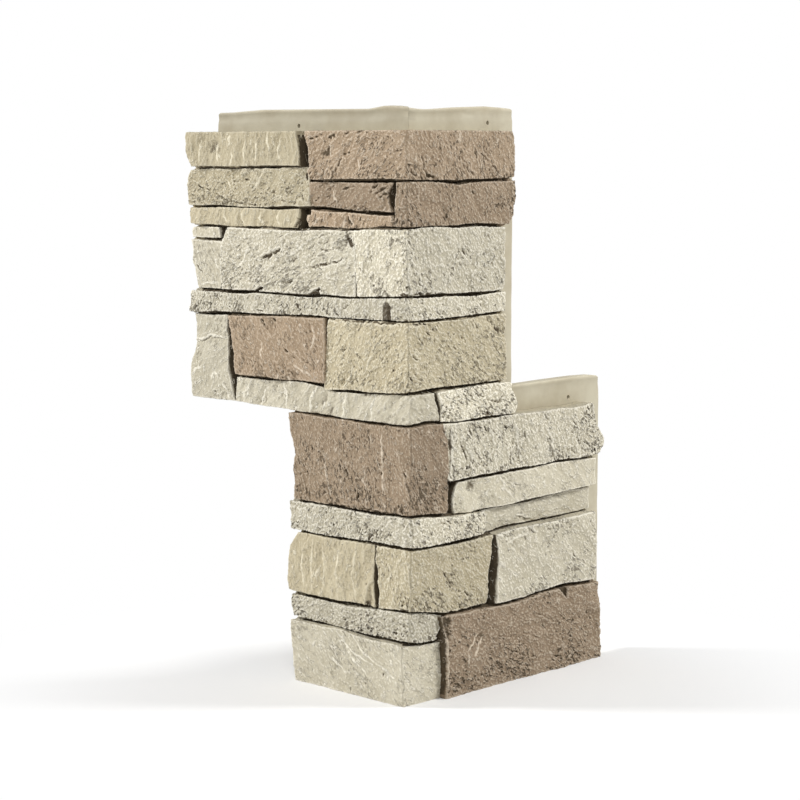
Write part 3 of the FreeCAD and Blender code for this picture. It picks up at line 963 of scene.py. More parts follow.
# Cracks, flakes and recesses of the stones, each a line of run, height, run, height...
MARKS = {
    "foot_corner": {
        "fine": ((-66, 19, -60, 16), (28, 33, 30, 26), (-24, 20, -21, 17)),
        "plain": ((-34, 33, -33, 28), (-82, 8, -82, 3)),
        "flakes": ((-116, 36, -102, 29, -88, 21),),
        "crests": ((-106, 66, -97, 57, -86, 50, -66, 43, -50, 38),
            (-78, 65, -72, 57, -65, 50, -48, 42, -35, 37, -17, 29), (-98, 62, -90, 50, -76, 38, -60, 27)),
    },
    "foot_rose": {
        "crests": ((54.5, 10, 55, 26, 54.5, 45), (54.5, 42, 54, 60, 53, 74), (100, 62, 88, 48, 84, 30)),
        "fine": ((257, 74, 273, 68), (133, 56, 156, 51), (145, 44, 178, 38), (258, 48, 275, 40), (113, 30, 126, 22),
            (211, 56, 219, 47), (133, 75, 153, 66), (198, 70, 219, 62), (120, 20, 122, 8), (178, 52, 193, 46, 205, 41)),
        "plain": ((100, 54, 106, 50), (159, 34, 173, 29, 189, 19, 200, 17), (245, 35, 248, 28)),
        "flakes": ((111, 60, 101, 48, 94, 38),),
        "drops": ((63, 92, 53, 15),),
        "pockets": (((237, 93, 253, 78, 254, 87, 252, 93), 4.5, 0.6),),
    },
    "thin_corner": {
        "fine": ((15, 89, 30, 84),),
        "plain": ((-118, 80, -116, 77), (-100, 79, -92, 81), (-24, 76, -18, 77)),
        "deep": ((4, 71, 9, 68),),
    },
    "cream_left": {
        "plain": ((-158, 129, -156, 125), (-104, 140, -103, 137), (-64, 122, -61, 126)),
        "deep": ((-68, 106, -64, 103, -61, 101),),
        "flakes": ((-147, 160, -150, 130, -149, 102), (-132, 158, -130, 135, -132, 104),
            (-104, 160, -110, 130, -108, 104), (-80, 158, -85, 130, -80, 102), (-163, 150, -166, 125, -162, 106)),
        "pockets": (((-69, 98, -44, 98, -44, 150, -54, 136, -58, 124, -65, 118), 2.6, 0.22),),
    },
    "cream_foot_corner": {
        "fine": ((16, 134, 24, 126), (38, 118, 46, 110), (63, 152, 72, 145), (40, 155, 43, 147), (50, 140, 58, 130),
            (96, 134, 102, 128)),
        "plain": ((-41, 134, -40, 130), (-11, 103, -2, 104), (84, 112, 93, 104), (18, 112, 26, 104, 32, 101),
            (104, 112, 110, 105)),
        "flakes": ((-35, 127, -29, 133, -23, 140),),
    },
    "proud_grey": {
        "fine": ((142, 168, 150, 164, 159, 160), (152, 165, 162, 158), (165, 137, 167, 130), (209, 101, 224, 99),
            (280, 120, 286, 114), (144, 113, 146, 108), (256, 142, 262, 138), (160, 103, 162, 97)),
        "plain": ((182, 160, 181, 156), (204, 128, 207, 125), (262, 133, 269, 125), (295, 165, 294, 160)),
        "flakes": ((154, 156, 169, 160, 186, 162),),
        "steps": ((187, 171, 200, 161),),
    },
    "band_corner": {
        "fine": ((-155, 195, -153, 185, -155, 172), (-163, 190, -161, 180), (-28, 184, -25, 179), (51, 195, 59, 190),
            (-88, 194, -74, 193)),
        "plain": ((-136, 176, -134, 171), (-125, 186, -124, 180), (-170, 173, -164, 172), (-10, 195, -4, 193),
            (79, 178, 82, 174)),
    },
    "scarred_strip": {
        "fine": ((220, 181, 237, 180, 255, 181), (155, 180, 163, 177)),
        "plain": ((185, 182, 201, 179),),
        "steps": ((175, 184, 191, 180, 208, 175.5),),
    },
    "rose_corner": {
        "fine": ((-93, 264, -83, 262), (-127, 283, -118, 284)),
        "plain": ((-102, 251, -100, 241), (-149, 268, -147, 261), (-161, 277, -159, 270), (-113, 275, -111, 268),
            (-10, 210, -6, 206), (-68, 208, -64, 204), (-40, 262, -38, 255), (-134, 255, -133, 248),
            (-170, 256, -167, 244), (-153, 215, -151, 205), (-120, 222, -119, 216), (-78, 270, -75, 268),
            (-48, 241, -45, 234), (40, 285, 43, 278), (16, 262, 20, 252), (-6, 214, -10, 209)),
        "deep": ((-76, 224, -75, 213), (-58, 226, -55, 214, -52, 209), (-155, 238, -154, 229), (-92, 246, -89, 235),
            (-29, 246, -26, 240), (-8, 250, -3, 247), (-120, 204, -60, 204.8, -10, 205.2)),
        "flakes": ((-128, 262, -126, 235, -119, 212), (-70, 238, -64, 228, -58, 224), (-38, 292, -40, 260, -36, 225)),
    },
    "slab": {
        "fine": ((225, 235, 227, 230), (201, 203, 204, 201), (169, 221, 173, 216)),
        "flakes": ((139, 235, 151, 218, 164, 204),),
    },
    "long_grey": {
        "fine": ((176, 294, 186, 291),),
        "plain": ((76, 277, 84, 262, 91, 247), (96, 270, 102, 260, 109, 251), (124, 287, 133, 279),
            (145, 274, 151, 265), (157, 262, 158, 246), (147, 288, 153, 283), (92, 287, 94, 280),
            (179, 278, 182, 270), (188, 281, 192, 272), (203, 282, 204, 275), (196, 262, 202, 255),
            (239, 276, 247, 264), (214, 294, 222, 286), (271, 262, 280, 254), (286, 256, 296, 248),
            (261, 252, 268, 245), (114, 262, 118, 255), (131, 262, 135, 250), (264, 283, 270, 276),
            (292, 296, 296, 289), (101, 294, 108, 288), (114, 290, 119, 284)),
        "flakes": ((214, 284, 228, 262, 236, 242), (162, 296, 168, 270, 176, 245)),
        "steps": ((60, 296, 63, 270, 59, 242),),
    },
    "ledge_corner": {
        "fine": ((-254, 312, -249, 311), (-37, 315, -32, 316), (-15, 322, -9, 319)),
        "flakes": ((-221, 328, -231, 318, -236, 302), (-197, 332, -191, 318, -193, 303),
            (-141, 332, -152, 318, -153, 301), (-253, 326, -263, 316, -264, 303), (-93, 328, -101, 316, -101, 301),
            (-51, 329, -59, 316, -58, 301)),
    },
    "ledge_end": {
        "fine": ((72, 312, 78, 306), (114, 330, 118, 326), (56, 314, 62, 308)),
        "plain": ((118, 321, 124, 318, 133, 316, 139, 317, 143, 321), (62, 325, 66, 323),
            (81, 331, 86, 328, 93, 324), (88, 309, 93, 301), (136, 314, 142, 317)),
        "deep": ((100, 327, 104, 324, 108, 325, 113, 322),),
    },
    "tall_end": {
        "fine": ((-307, 332, -304, 329),),
        "plain": ((-314, 312, -309, 312),),
        "flakes": ((-319, 327, -314, 333, -308, 331), (-353, 326, -345, 335, -333, 338),
            (-301, 322, -293, 314, -290, 304)),
        "steps": ((-353, 369, -334, 371, -321, 376.5, -306, 375, -289, 375),),
    },
    "rose_block": {
        "fine": ((-220, 389, -208, 385, -202, 388, -196, 380), (-258, 378, -256, 375), (-249, 354, -246, 353),
            (-245, 371, -238, 370), (-218, 366, -204, 368), (-238, 386, -236, 381)),
        "plain": ((-176, 361, -173, 360), (-169, 369, -165, 364, -158, 359), (-155, 357, -151, 357)),
        "deep": ((-227, 401, -225, 396, -222, 394), (-209, 403, -205, 400), (-190, 373, -186, 368, -182, 367)),
        "flakes": ((-226, 376, -231, 362, -224, 352), (-146, 400, -141, 385, -148, 370),
            (-176, 352, -161, 346, -146, 342)),
        "pockets": (((-227, 404, -225, 395, -218, 388, -208, 385, -203, 390, -204, 404), 1.6, 0),),
    },
    "cream_corner": {
        "fine": ((-78, 344, -75, 350), (-112, 378, -103, 380), (-52, 380, -51, 383), (129, 386, 134, 378),
            (15, 392, 21, 386), (134, 345, 141, 340), (79, 392, 86, 384), (39, 372, 46, 365)),
        "plain": ((-85, 352, -84, 345), (-52, 367, -46, 373, -42, 378), (-40, 366, -36, 371), (5, 376, 11, 369),
            (2, 352, 6, 347), (65, 382, 71, 375), (63, 358, 68, 348), (93, 405, 99, 398), (101, 404, 108, 394),
            (97, 366, 103, 359), (31, 358, 25, 346), (47, 347, 55, 341), (107, 341, 113, 338), (27, 398, 31, 395),
            (159, 398, 158, 380)),
        "deep": ((-119, 406.6, -80, 407, -40, 407.2, -12, 407.6), (0, 407.8, 12, 406.8, 26, 407)),
        "flakes": ((-60, 352, -58, 362, -52, 372),),
        "steps": ((-83, 360, -85, 350, -90, 342, -99, 335),),
    },
    "runner": {
        "fine": ((-259, 420, -255, 415), (-151, 409.5, -145, 414), (-61, 421, -58, 416), (-284, 412, -279, 409),
            (-174, 420, -169, 414), (6, 421, 10, 416), (52, 427, 58, 423), (112, 424, 112, 419)),
        "plain": ((-195, 419, -191, 414, -187, 418), (-111, 421, -107, 413, -103, 411), (-97, 419, -91, 423),
            (-307, 425, -304, 420, -301, 415), (-237, 411, -227, 409), (-123, 413, -117, 410), (44, 431, 46, 428),
            (70, 425, 78, 416)),
        "pockets": (((-39, 408, -26, 408, -26, 424, -27.6, 428, -30.4, 430, -34, 430, -37, 428, -39, 424), 1.8, 0.8),),
    },
    "small_end": {
        "fine": ((-330, 485, -331, 479), (-320, 466, -314, 462)),
        "deep": ((-343, 457, -338, 452, -333, 448),),
        "flakes": ((-314, 470, -313, 460, -304, 452), (-338, 433, -324, 436, -306, 437)),
    },
    "broad_grey": {
        "fine": ((-160, 496, -147, 499), (-271, 476, -265, 475), (-229, 453, -223, 455), (-205, 456, -198, 457),
            (-234, 457, -229, 459), (-237, 444, -219, 442), (-249, 443, -241, 441), (-89, 452, -85, 454),
            (-117, 452, -105, 457), (-259, 449, -247, 452), (-185, 499, -169, 501)),
        "plain": ((-228, 467, -221, 471, -211, 473, -201, 478, -196, 480), (-98, 472, -95, 475),
            (-134, 495, -125, 499, -116, 500), (-130, 481, -115, 483, -102, 485), (-87, 491, -84, 497),
            (-193, 443, -175, 445), (-282, 437, -278, 433), (-296, 478, -296, 466)),
        "deep": ((-153, 461, -137, 464, -123, 466, -107, 469, -97, 472), (-74, 455, -76, 446, -75, 430)),
        "flakes": ((-187, 470, -167, 478, -147, 492), (-277, 452, -259, 462, -247, 480)),
        "steps": ((-230, 469, -219, 474, -205, 479, -194, 482),),
        "pockets": (((-93, 508, -92, 494, -87, 485, -81, 484, -77, 491, -76, 508), 1.8, 0.22),
            ((-243, 429, -230, 429, -225, 434, -214, 437.5, -231, 437, -239, 433), 4, 0.9),
            ((-157, 430, -131, 430, -132, 441, -140, 438, -148, 434), 4, 0.85)),
    },
    "broad_corner": {
        "fine": ((2, 451, 8, 444), (64, 479, 66, 473), (56, 466, 58, 450), (88, 456, 92, 449), (122, 499, 126, 490),
            (104, 498, 106, 493), (78, 500, 80, 494), (-46, 440, -42, 436), (1, 505, 2, 503)),
        "plain": ((-55, 473, -50, 479), (-70, 467, -67, 461), (106, 475, 106, 468, 102, 461),
            (110, 456, 112, 450, 108, 444), (126, 478, 130, 472), (134, 474, 130, 468, 132, 462), (84, 483, 88, 475),
            (76, 481, 76, 472)),
        "deep": ((-10, 438.6, 10, 438.6, 30, 438, 55, 437.6),),
    },
    "strip_cream": {
        "fine": ((-322, 518, -320, 513), (-208, 506, -212, 503), (-231, 512, -229, 515)),
        "plain": ((-173, 518, -167, 512),),
        "flakes": ((-292, 523, -295, 514, -289, 505), (-262, 522, -266, 512, -259, 504),
            (-229, 522, -234, 513, -227, 505), (-203, 523, -206, 514, -198, 505)),
        "pockets": (((-178, 504, -158, 502, -158, 514, -164, 517, -170, 514, -175, 508), 3.2, 0.6),),
    },
    "strip_rose": {
        "fine": ((-71, 514, -65, 512),),
        "flakes": ((-135, 518, -143, 512, -151, 509), (-97, 516, -101, 508, -105, 504)),
        "steps": ((-93, 520, -88, 513, -86, 508),),
        "pockets": (((-163, 519, -151, 518, -149, 527, -165, 527), 5, 1),),
    },
    "rose_upper_corner": {
        "fine": ((60, 541, 62, 530), (88, 538, 92, 530), (98, 548, 104, 541), (40, 536, 46, 526),
            (146, 534, 144, 524), (118, 548, 122, 542), (8, 528, 14, 520), (150, 552, 152, 545)),
        "plain": ((42, 512, 44, 507), (76, 522, 80, 515)),
    },
    "creased_cream": {
        "fine": ((-287, 535, -271, 531), (-275, 554, -254, 556, -239, 555, -221, 552), (-231, 561, -226, 564),
            (-224, 539, -217, 542), (-325, 532, -319, 534), (-251, 532, -235, 536)),
        "plain": ((-338, 548, -319, 544, -299, 537, -284, 532, -261, 529), (-346, 530, -339, 528),
            (-300, 531, -290, 528), (-267, 529, -239, 528), (-189, 547, -177, 549), (-212, 541, -204, 545),
            (-175, 529, -171, 537), (-164, 541, -159, 535), (-165, 553, -159, 556), (-195, 534, -187, 533),
            (-191, 542, -181, 544), (-157, 536, -151, 533)),
        "deep": ((-156, 563, -155, 557),),
        "flakes": ((-249, 540, -233, 552, -225, 566), (-291, 558, -282, 548, -283, 538)),
    },
    "strip_rose_upper": {
        "fine": ((-137, 548, -128, 553, -120, 556), (-104, 536, -96, 539), (-128, 536, -118, 542),
            (-76, 541, -68, 543), (-124, 546, -112, 552)),
        "plain": ((-100, 547, -90, 549, -82, 551), (-65, 533, -59, 533)),
        "deep": ((-142, 534, -134, 540), (-56, 545, -51, 550, -45, 553), (-48, 543, -40, 548, -30, 551),
            (-42, 540, -27, 546, -21, 553)),
        "flakes": ((-112, 552, -114, 540, -106, 528),),
    },
    "cap_cream": {
        "fine": ((-287, 582, -286, 579), (-234, 582, -233, 579), (-185, 587, -184, 585)),
        "flakes": ((-325, 602, -329, 590, -328, 574), (-299, 600, -302, 588, -299, 575),
            (-277, 609, -279, 602, -278, 594), (-250, 600, -256, 590, -254, 574), (-233, 606, -232, 592, -235, 576),
            (-213, 609, -215, 598, -209, 588), (-192, 602, -197, 590, -194, 576), (-274, 588, -272, 580, -275, 572)),
    },
    "cap_rose_corner": {
        "fine": ((-86, 600, -80, 596), (-56, 602, -44, 599), (-2, 575, 5, 572), (87, 612, 91, 607),
            (144, 607, 153, 601), (29, 595, 34, 591), (46, 583, 51, 578), (85, 596, 93, 588), (1, 568, 15, 562)),
        "plain": ((-101, 581, -90, 586, -82, 587), (-44, 571, -40, 567), (-18, 587, -10, 588),
            (119, 582, 129, 574, 140, 566, 144, 560), (104, 592, 105, 580), (41, 610, 43, 603), (21, 583, 25, 574),
            (89, 576, 95, 566), (97, 567, 104, 561), (79, 570, 81, 560), (56, 572, 61, 562), (113, 586, 121, 581),
            (136, 562, 147, 559)),
        "deep": ((-146, 601, -139, 603, -128, 606), (-118, 602, -108, 606), (-94, 605, -84, 610),
            (-72, 608, -62, 611), (-105, 567, -101, 575, -97, 580), (23, 570, 31, 563, 43, 560)),
        "flakes": ((-115, 573, -123, 568, -124, 559), (-118, 600, -117, 590, -115, 580), (-73, 580, -71, 566)),
    },
}

# Looks: the depth of each coat in mm, the stretch of the grain, how free of pits the upper part is, and the
# strength of the painted speckle
LOOK = ("swell", "wave", "flake", "scoop", "ridge", "ledge", "pit", "grit", "stretch", "pit_foot", "coarse")
PITTED = dict(zip(LOOK, (3.5, 1.2, 2.0, 1.2, 0.7, 1.2, 2.0, 0.9, 1.4, 0.3, 1.7)))
RIPPLED = dict(zip(LOOK, (4.0, 1.0, 1.6, 1.6, 0.0, 1.4, 0.5, 0.5, 1.8, 0.0, 0.65)))
FLAKY = dict(zip(LOOK, (4.0, 1.0, 2.0, 0.9, 0.5, 1.4, 1.1, 0.7, 1.6, 0.3, 1.35)))
HATCHED = dict(zip(LOOK, (3.5, 1.0, 1.6, 0.9, 0.6, 1.3, 1.4, 0.8, 1.5, 0.4, 1.55)))
PLAIN = dict(zip(LOOK, (4.5, 0.9, 1.5, 0.8, 0.0, 0.7, 0.5, 0.5, 1.6, 0.0, 0.85)))

lay_stone("foot_corner", GREY, PLAIN, (-169.5, -173, -176, -178, -177), (50.5, 53, 54), FOOT, FOOT_HEAD, (20, 11),
          (-50, -50), shelf=(7, 2), tone_and_painted_light=(-0.05, -0.03))
lay_stone("foot_rose", ROSE, HATCHED, (50.5, 52, 52.5, 50, 44), (314, 315, 314, 311, 309), FOOT, BLOCK_HEAD, (21,),
          (-62,), shelf=(4,), tone_and_painted_light=(-0.12,))
lay_stone("thin_corner", GREY, PITTED, (-178, -181, -184, -182), (41, 45, 50, 50), FOOT_HEAD, THIN_HEAD, (14.5, 14),
          (55, -45), shelf=(2, 2), tone_and_painted_light=(-0.13, -0.2))
lay_stone("cream_left", CREAM, RIPPLED, (-184.7, -188, -186.5, -184, -171), (-49, -51.5, -52.5, -51, -50.5),
          THIN_HEAD, MIDDLE_HEAD, (16,), (5,), tone_and_painted_light=(-0.05,))
lay_stone("cream_foot_corner", CREAM, HATCHED, (-43, -45, -47, -48, -48), (118.5, 120, 123.5, 127, 130), THIN_HEAD,
          MIDDLE_HEAD, (15.5, 17.5), (8, -45), shelf=(2,), tone_and_painted_light=(-0.05, -0.15))
lay_stone("proud_grey", GREY, {**PLAIN, "coarse": 1.4}, (132, 133, 137, 137, 133), (304, 308, 306, 304), BLOCK_HEAD,
          PROUD_HEAD, (20,), (-48,), shelf=(12,), tone_and_painted_light=(-0.05,))
lay_stone("band_corner", GREY, PITTED, (-180, -181, -183), (109, 115, 115.5, 110), MIDDLE_HEAD, BAND_HEAD, (16, 21),
          (40, -45), shelf=(2, 5), tone_and_painted_light=(-0.08, 0.05))
lay_stone("scarred_strip", GREY, PLAIN, (119, 119), (306, 304), PROUD_HEAD, SCAR_HEAD, (9,), (-68,), tone_and_painted_light=(-0.1,))
lay_stone("rose_corner", ROSE, {**HATCHED, "coarse": 1.3}, (-176.6, -174.6, -175.6, -175, -180, -182),
          (55.4, 55.6, 56, 56.5, 56, 49), BAND_HEAD, STEP_JOINT, (16, 18), (-14, -35), shelf=(5, 5),
          tone_and_painted_light=(-0.02, -0.15))
lay_stone("slab", GREY, PLAIN, (69, 66.6, 67, 69, 76), (311, 311), SCAR_HEAD, SLAB_HEAD, (15,), (-55,), shelf=(2,))
lay_stone("long_grey", GREY, PITTED, (55.5, 56, 55.5, 53, 47), (314, 324, 318, 308.6, 305, 302), SLAB_HEAD,
          STEP_JOINT, (18,), (-35,), shelf=(3,), tone_and_painted_light=(-0.03,))
lay_stone("ledge_corner", GREY, RIPPLED, (-277.5, -276, -275), (46.4, 44.4, 41.4, 37.4, 35.4), STEP_JOINT,
          LEDGE_TOP, (13, 15.5), (35, -60), tone_and_painted_light=(-0.03, -0.07))
lay_stone("ledge_end", GREY, PITTED, (44.2, 45.8, 45.3, 41.8, 38.8), (166, 168, 166, 158, 158.5), STEP_JOINT,
          LEDGE_HEAD_CORNER, (18,), (-60,), shelf=(4,), tone_and_painted_light=(0.14,))
lay_stone("tall_end", GREY, PLAIN, (-353.7, -355, -356, -354, -347, -348.3, -346, -348),
          (-280, -284, -289.5, -289, -289.5, -291), STEP_JOINT, LARGE_HEAD, (13,), (40,), tone_and_painted_light=(-0.1,))
lay_stone("rose_block", ROSE, {**HATCHED, "coarse": 1.0}, (-272, -274, -278.5, -283),
          (-125, -124.5, -123.5, -124.6), LEDGE_HEAD, LARGE_HEAD, (18,), (-35,), tone_and_painted_light=(0.12,))
lay_stone("cream_corner", CREAM, FLAKY, (-128, -127.5, -123.5, -118.5), (152, 152), LEDGE_HEAD_CORNER, LARGE_HEAD,
          (16.5, 15), (35, -48), tone_and_painted_light=(0.0, -0.09))
lay_stone("runner", GREY, PITTED, (-356, -353.6, -349), (152, 152), LARGE_HEAD, RUNNER_HEAD, (15.5, 13.5),
          (30, -42), shelf=(2,), tone_and_painted_light=(-0.08, 0.02))
lay_stone("small_end", GREY, PLAIN, (-342, -345, -346, -353, -352, -356), (-302.5, -299, -298, -299, -299.5),
          RUNNER_HEAD, CHIP_HEAD, (12,), (-30,), tone_and_painted_light=(-0.05,))
lay_stone("chip_stone", GREY, PLAIN, (-355, -356, -354), (-305, -305), CHIP_HEAD, BROAD_HEAD, (10,), (10,))
lay_stone("broad_grey", GREY, FLAKY, (-296, -298, -298, -297, -295, -285), (-78.5, -76.5, -76, -76, -76),
          RUNNER_HEAD, BROAD_HEAD, (17,), (62,), tone_and_painted_light=(-0.03,))
lay_stone("broad_corner", GREY, HATCHED, (-73.2, -75.5, -78, -78, -78), (150, 150), RUNNER_HEAD, BROAD_HEAD,
          (18, 14.5), (28, -35), tone_and_painted_light=(0.12, -0.1))
lay_stone("strip_cream", CREAM, RIPPLED, (-354, -356, -357), (-171, -167, -168), BROAD_HEAD, STRIP_HEAD, (14,),
          (22,), tone_and_painted_light=(-0.06,))
lay_stone("strip_rose", ROSE, FLAKY, (-155, -159.5, -158, -154), (-20, -22, -25), BROAD_HEAD, STRIP_HEAD, (13,),
          (30,), tone_and_painted_light=(0.28,))
lay_stone("rose_upper_corner", ROSE, HATCHED, (-17, -18, -17), (158, 165, 167, 168, 167.5), BROAD_HEAD, UNDER_CAP,
          (17, 13.5), (12, -25), tone_and_painted_light=(-0.08,))
lay_stone("creased_cream", CREAM, FLAKY, (-354, -356, -357, -356, -350), (-149.5, -150.5, -152), STRIP_HEAD,
          CREASE_HEAD, (15,), (62,), tone_and_painted_light=(-0.15,))
lay_stone("strip_rose_upper", ROSE, FLAKY, (-150.8, -151.2), (-24, -31, -31, -23), STRIP_HEAD, UNDER_CAP, (14,),
          (55,), tone_and_painted_light=(-0.06,))
lay_stone("cap_cream", CREAM, RIPPLED, (-342, -350, -352, -353, -353), (-161, -162.5, -164.5, -166.2), CREASE_HEAD,
          HEAD, (20,), (7,), tone_and_painted_light=(-0.14,))
lay_stone("cap_rose_corner", ROSE, FLAKY, (-147, -152, -148.5, -148, -152, -154.5), (165.6, 167.3, 167.6, 167),
          UNDER_CAP, HEAD, (18, 13), (48, -25), tone_and_painted_light=(0.16, 0.06))


# ---------------------------------------------------------- the back and flanges


def turned_plate(name, near, far, foot, head, cut_left, cut_right, left_ends, right_ends):
    """A staggered plate round the corner. left_ends and right_ends are its X and Y reaches, lower then upper."""
    plate = block(name, (near, -far, foot), (far, -near, head))
    edit(plate)
    for cut in sorted({cut_left, cut_right}):
        slice_at(2, cut)

    def left_end(face):
        return face.normal.x < -0.9

    def right_end(face):
        return face.normal.y > 0.9 and face.calc_center_median().x > near * MM

    def upper_left(face):
        middle = face.calc_center_median()
        return face.normal.x < -0.9 and middle.z > cut_left * MM and middle.x < (left_ends[0] + 1) * MM

    def lower_right(face):
        middle = face.calc_center_median()
        return face.normal.y > 0.9 and middle.z < cut_right * MM and middle.y > (right_ends[1] - 1) * MM

    pull_out(plate, left_end, (left_ends[0] - near, 0, 0))
    pull_out(plate, right_end, (0, right_ends[1] + near, 0))
    pull_out(plate, upper_left, (left_ends[1] - left_ends[0], 0, 0))
    pull_out(plate, lower_right, (0, right_ends[0] - right_ends[1], 0))
    done()
    return plate


# Heads of the flanges, their screw holes as (left leg, run, height), and their creases
LIP = Line(
    (-340, 631.7), (-300, 632.2), (-250, 634.5), (-150, 633.7), (-80, 633.2), (-58, 636), (-45, 636.2), (-30, 634.7),
    (-10, 633.7), (0, 632.2), (20, 633.2), (45, 632.2), (62, 632.8), (100, 635.2), (140, 636.7), (165, 635.7),
    (190, 634.2),
)
STEP_LIP = Line((160, 325.5), (200, 327.0), (250, 327.8), (300, 328.2), (330, 327.4), (345, 325.5))
SCREWS = ((True, -190.5, 616), (False, 145, 619), (False, 286, 305.5))
SCREW_RADIUS = 2.3
CREASES = (
    ((9, 633), (13, 627), (12, 620), (18, 612)), ((-70, 634), (-62, 628), (-60, 620)),
    ((150, 636), (149, 612), (150, 480)), ((330, 326), (331, 300), (329, 180)),
    ((-287, 634), (-288, 612)), ((100, 634), (108, 629), (122, 627)),
)
NICK = ((-3.5, 612), (-3.0, 612.5))


class Spot:
    """Runs and heights that a cut is drawn on."""

    def __init__(self, run, height):
        self.run = run
        self.height = height
        self.broken = 1.0


def plain_plate():
    """The plate with its lap flanges, flat and with rounded corners, cut into small fields."""
    plate = turned_plate("moulded_back", 0.0, FLANGE, PLATE_FOOT, PLATE_HEAD, PLATE_STEP_LEFT, PLATE_STEP_RIGHT,
                         PLATE_LEFT, PLATE_RIGHT)
    corners = (
        (0, PLATE_LEFT[1], PLATE_HEAD), (0, PLATE_LEFT[1], PLATE_STEP_LEFT), (0, PLATE_LEFT[0], PLATE_FOOT),
        (1, PLATE_RIGHT[1], PLATE_HEAD), (1, PLATE_RIGHT[0], PLATE_STEP_RIGHT), (1, PLATE_RIGHT[0], PLATE_FOOT),
    )
    edit(plate)

    def free_corner(edge):
        middle = (edge.verts[0].co + edge.verts[1].co) / 2 / MM
        if edge.calc_length() > 1.1 * FLANGE * MM:
            return False
        return any(abs(middle[axis] - reach) < 0.1 and abs(middle.z - height) < 0.1 for axis, reach, height in corners)

    pick(plate, "edges", free_corner)
    bpy.ops.mesh.bevel(offset=5.5 * MM, segments=5, affect="EDGES")
    for foot, height, count in ((34, 8, 33), (300, 2.2, 13), (336, 8, 34), (608, 2.2, 13)):
        for step in range(count):
            slice_at(2, foot + height * step)
    for reach in np.arange(-289.0, -1.0, 3.4):
        slice_at(0, reach)
    for reach in np.arange(3.0, 305.0, 3.4):
        slice_at(1, reach)
    done()
    finish_with(plate, "BEVEL", width=1.4 * MM, segments=3, limit_method="ANGLE", angle_limit=math.radians(40))
    return plate


def mould_plate(plate):
    """Give the plate a wavy lip along its heads, a rim and a furrow under it, creases and a soft swell."""
    places = points_of(plate.data) / MM
    left = -places[:, 1] > places[:, 0]
    run = np.where(left, places[:, 0] - FACE, places[:, 1] + FACE)
    height = places[:, 2]
    front = np.where(left, FLANGE + places[:, 1], FLANGE - places[:, 0])
    at_head = np.array([LIP.at(spot) for spot in run]) - PLATE_HEAD
    at_step = np.array([STEP_LIP.at(spot) for spot in run]) - PLATE_STEP_RIGHT
    rise = at_head * ease(height, 612, 632) + at_step * ease(height, 306, 322) * (height < 330) * (run > 187)
    press(plate, "lip_rise", rise, "Z")
    skin = 1 - ease(front, 0.3, 3)
    spread = 0.5 + 0.5 * np.sin(run * 0.11) * np.sin(run * 0.037 + 1)
    top = np.where((run > 188) & (height < 330), height - PLATE_STEP_RIGHT, height - PLATE_HEAD)
    rim = 0.9 * np.exp(-((top + 1.5) / 1.6) ** 2)
    furrow = 1.1 * np.exp(-((top + 8) / 5) ** 2) * (0.5 + 0.5 * spread)
    relief = rim - furrow
    spot = Spot(run, height)
    for points in CREASES:
        relief = relief + groove(spot, points, 1.8, 0.8)[0]
    relief = relief + groove(spot, NICK, 2.2, 3.0)[0]
    press(plate, "relief_left", np.where(left, -relief * skin, 0), "Y")
    press(plate, "relief_right", np.where(left, 0, relief * skin), "X")
    clear = ease(abs(-places[:, 1] - places[:, 0]), 0, 14)
    for axis, outward, side in (("Y", -1, left), ("X", 1, ~left)):
        finish_with(plate, "DISPLACE", texture=SWELL, texture_coords="LOCAL", strength=1.6 * outward * MM,
                    mid_level=0.5, direction=axis, vertex_group=weigh(plate, "flat_" + axis, skin * side * clear))


def drill_screws(plate):
    """Bore the screw holes through the flanges."""
    for on_left, run, height in SCREWS:
        middle = (FACE + run, -FLANGE / 2, height) if on_left else (FLANGE / 2, run - FACE, height)
        turned = (math.pi / 2, 0, 0) if on_left else (0, math.pi / 2, 0)
        bpy.ops.object.select_all(action="DESELECT")
        bpy.ops.mesh.primitive_cylinder_add(vertices=24, radius=SCREW_RADIUS * MM, depth=24 * MM,
                                            location=[distance * MM for distance in middle], rotation=turned)
        drill = bpy.context.object
        finish_with(plate, "BOOLEAN", operation="DIFFERENCE", object=drill, solver="EXACT")
        bpy.data.objects.remove(drill)


plate = plain_plate()
mould_plate(plate)
drill_screws(plate)
only(plate)
bpy.ops.object.shade_smooth_by_angle(angle=math.radians(50))
# The back of the bed keeps 1 mm behind those of the stones, which hide it
bed = turned_plate("joint_bed", FLANGE + 1.0, BED, 3.0, 606.0, 308.0, 292.0, (-133.0, -304.0), (258.0, 107.0))
for piece, darkened in ((plate, 0.0), (bed, 1.0)):
    places = points_of(piece.data) / MM
    on_left = -places[:, 1] > places[:, 0]
    # Painted light on the plate: the right leg painted lighter and the left leg darker as the lamps fall, a painted
    # highlight along the rounded lip and a band of painted shade below it
    below_lip = np.where((places[:, 1] > 155) & (places[:, 2] < 330), 327 - places[:, 2], 634 - places[:, 2])
    shade = 0.16 * (1 - ease(below_lip, 0.5, 3)) - 0.07 * ease(below_lip, 2, 5) * (1 - ease(below_lip, 8, 22))
    note(piece, "tone_and_painted_light", np.where(on_left, -0.05, 0.10) + shade)
    note(piece, "joint", np.full(len(piece.data.vertices), darkened))
    piece.data.materials.append(MOULDED)
    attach(piece, "root")
    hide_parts("corner_panel")


# ------------------------------------------------------- camera, light and floor


def add_camera():
    """The camera fitted to the photograph, tilted down with a small shift."""
    bpy.ops.object.select_all(action="DESELECT")
    turned = (math.radians(84.884), 0, math.radians(44.314))
    bpy.ops.object.camera_add(location=(1.5240, -1.5738, 0.5875), rotation=turned)
    camera = bpy.context.object
    camera.data.lens = 92.651
    camera.data.shift_y = -0.08
    camera.data.clip_end = 30
    bpy.context.scene.camera = camera


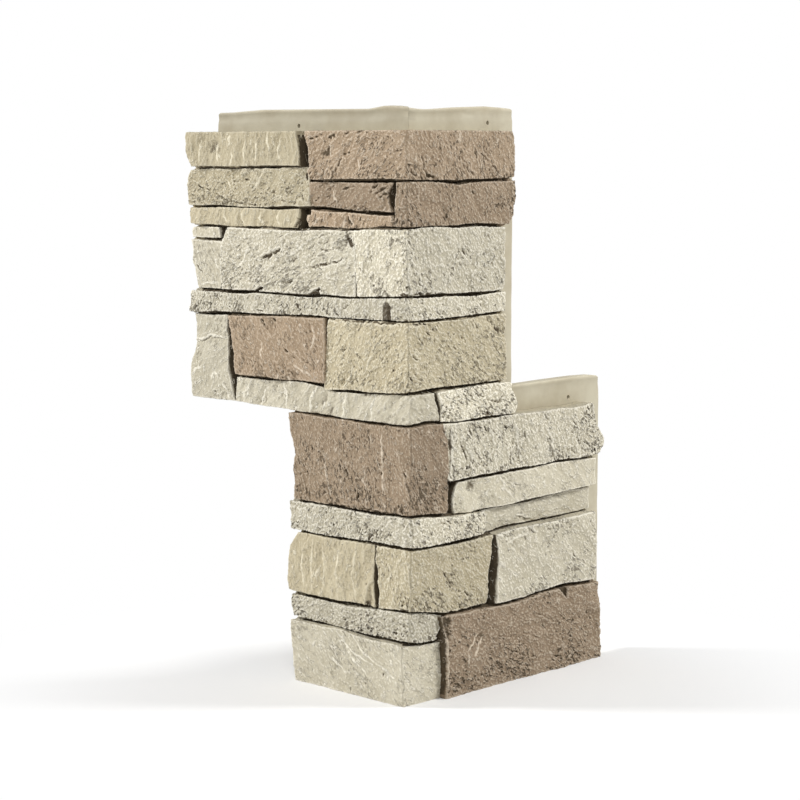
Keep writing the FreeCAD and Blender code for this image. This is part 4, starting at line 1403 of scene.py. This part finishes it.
def add_lamp(name, place, size, watts):
    """A round lamp aimed at the middle of the panel."""
    bpy.ops.object.select_all(action="DESELECT")
    bpy.ops.object.light_add(type="AREA", location=place)
    lamp = bpy.context.object
    lamp.name = name
    lamp.data.shape = "DISK"
    lamp.data.size = size
    lamp.data.energy = watts
    lamp.rotation_euler = (Vector((0, 0, 0.3)) - Vector(place)).to_track_quat("-Z", "Y").to_euler()


def add_room():
    """A world that is seen white but lights softly, and a floor that takes the shadow and fades into it."""
    scene = bpy.context.scene
    scene.world = scene.world or bpy.data.worlds.new("studio")
    sky = Paint(scene.world)
    rays = sky.node("ShaderNodeLightPath")
    seen = rays["Is Camera Ray"].either(rays["Is Glossy Ray"])
    light = sky.node("ShaderNodeBackground", {}, {"Color": WHITE, "Strength": 0.30})["Background"]
    white = sky.node("ShaderNodeBackground", {}, {"Color": WHITE, "Strength": 1.0})["Background"]
    mixed = sky.node("ShaderNodeMixShader", {}, {0: seen, 1: light, 2: white})["Shader"]
    sky.node("ShaderNodeOutputWorld", {}, {"Surface": mixed})
    bpy.ops.object.select_all(action="DESELECT")
    bpy.ops.mesh.primitive_plane_add(size=8, location=(0, 0, 0))
    floor = bpy.context.object
    floor.name = "floor"
    paint = Paint(bpy.data.materials.new("floor_white"))
    place = paint.node("ShaderNodeTexCoord")["Object"]
    away = paint.node("ShaderNodeVectorMath", {"operation": "LENGTH"}, {0: place})["Value"]
    matte = paint.node("ShaderNodeBsdfDiffuse", {}, {"Color": (0.93, 0.93, 0.93, 1)})["BSDF"]
    glow = paint.node("ShaderNodeEmission", {}, {"Strength": 1.0})["Emission"]
    far = away.climb(0.26, 0.56)
    mixed = paint.node("ShaderNodeMixShader", {}, {0: far, 1: matte, 2: glow})
    paint.node("ShaderNodeOutputMaterial", {}, {"Surface": mixed["Shader"]})
    floor.data.materials.append(paint.owner)


add_camera()
add_room()
add_lamp("key", (-2.5, -2.1, 2.3), 0.9, 116)
add_lamp("fill", (1.9, 2.0, 2.3), 0.9, 82)
add_lamp("front", (1.9, -2.0, 1.9), 1.2, 24)
bpy.context.scene.view_settings.view_transform = "Standard"
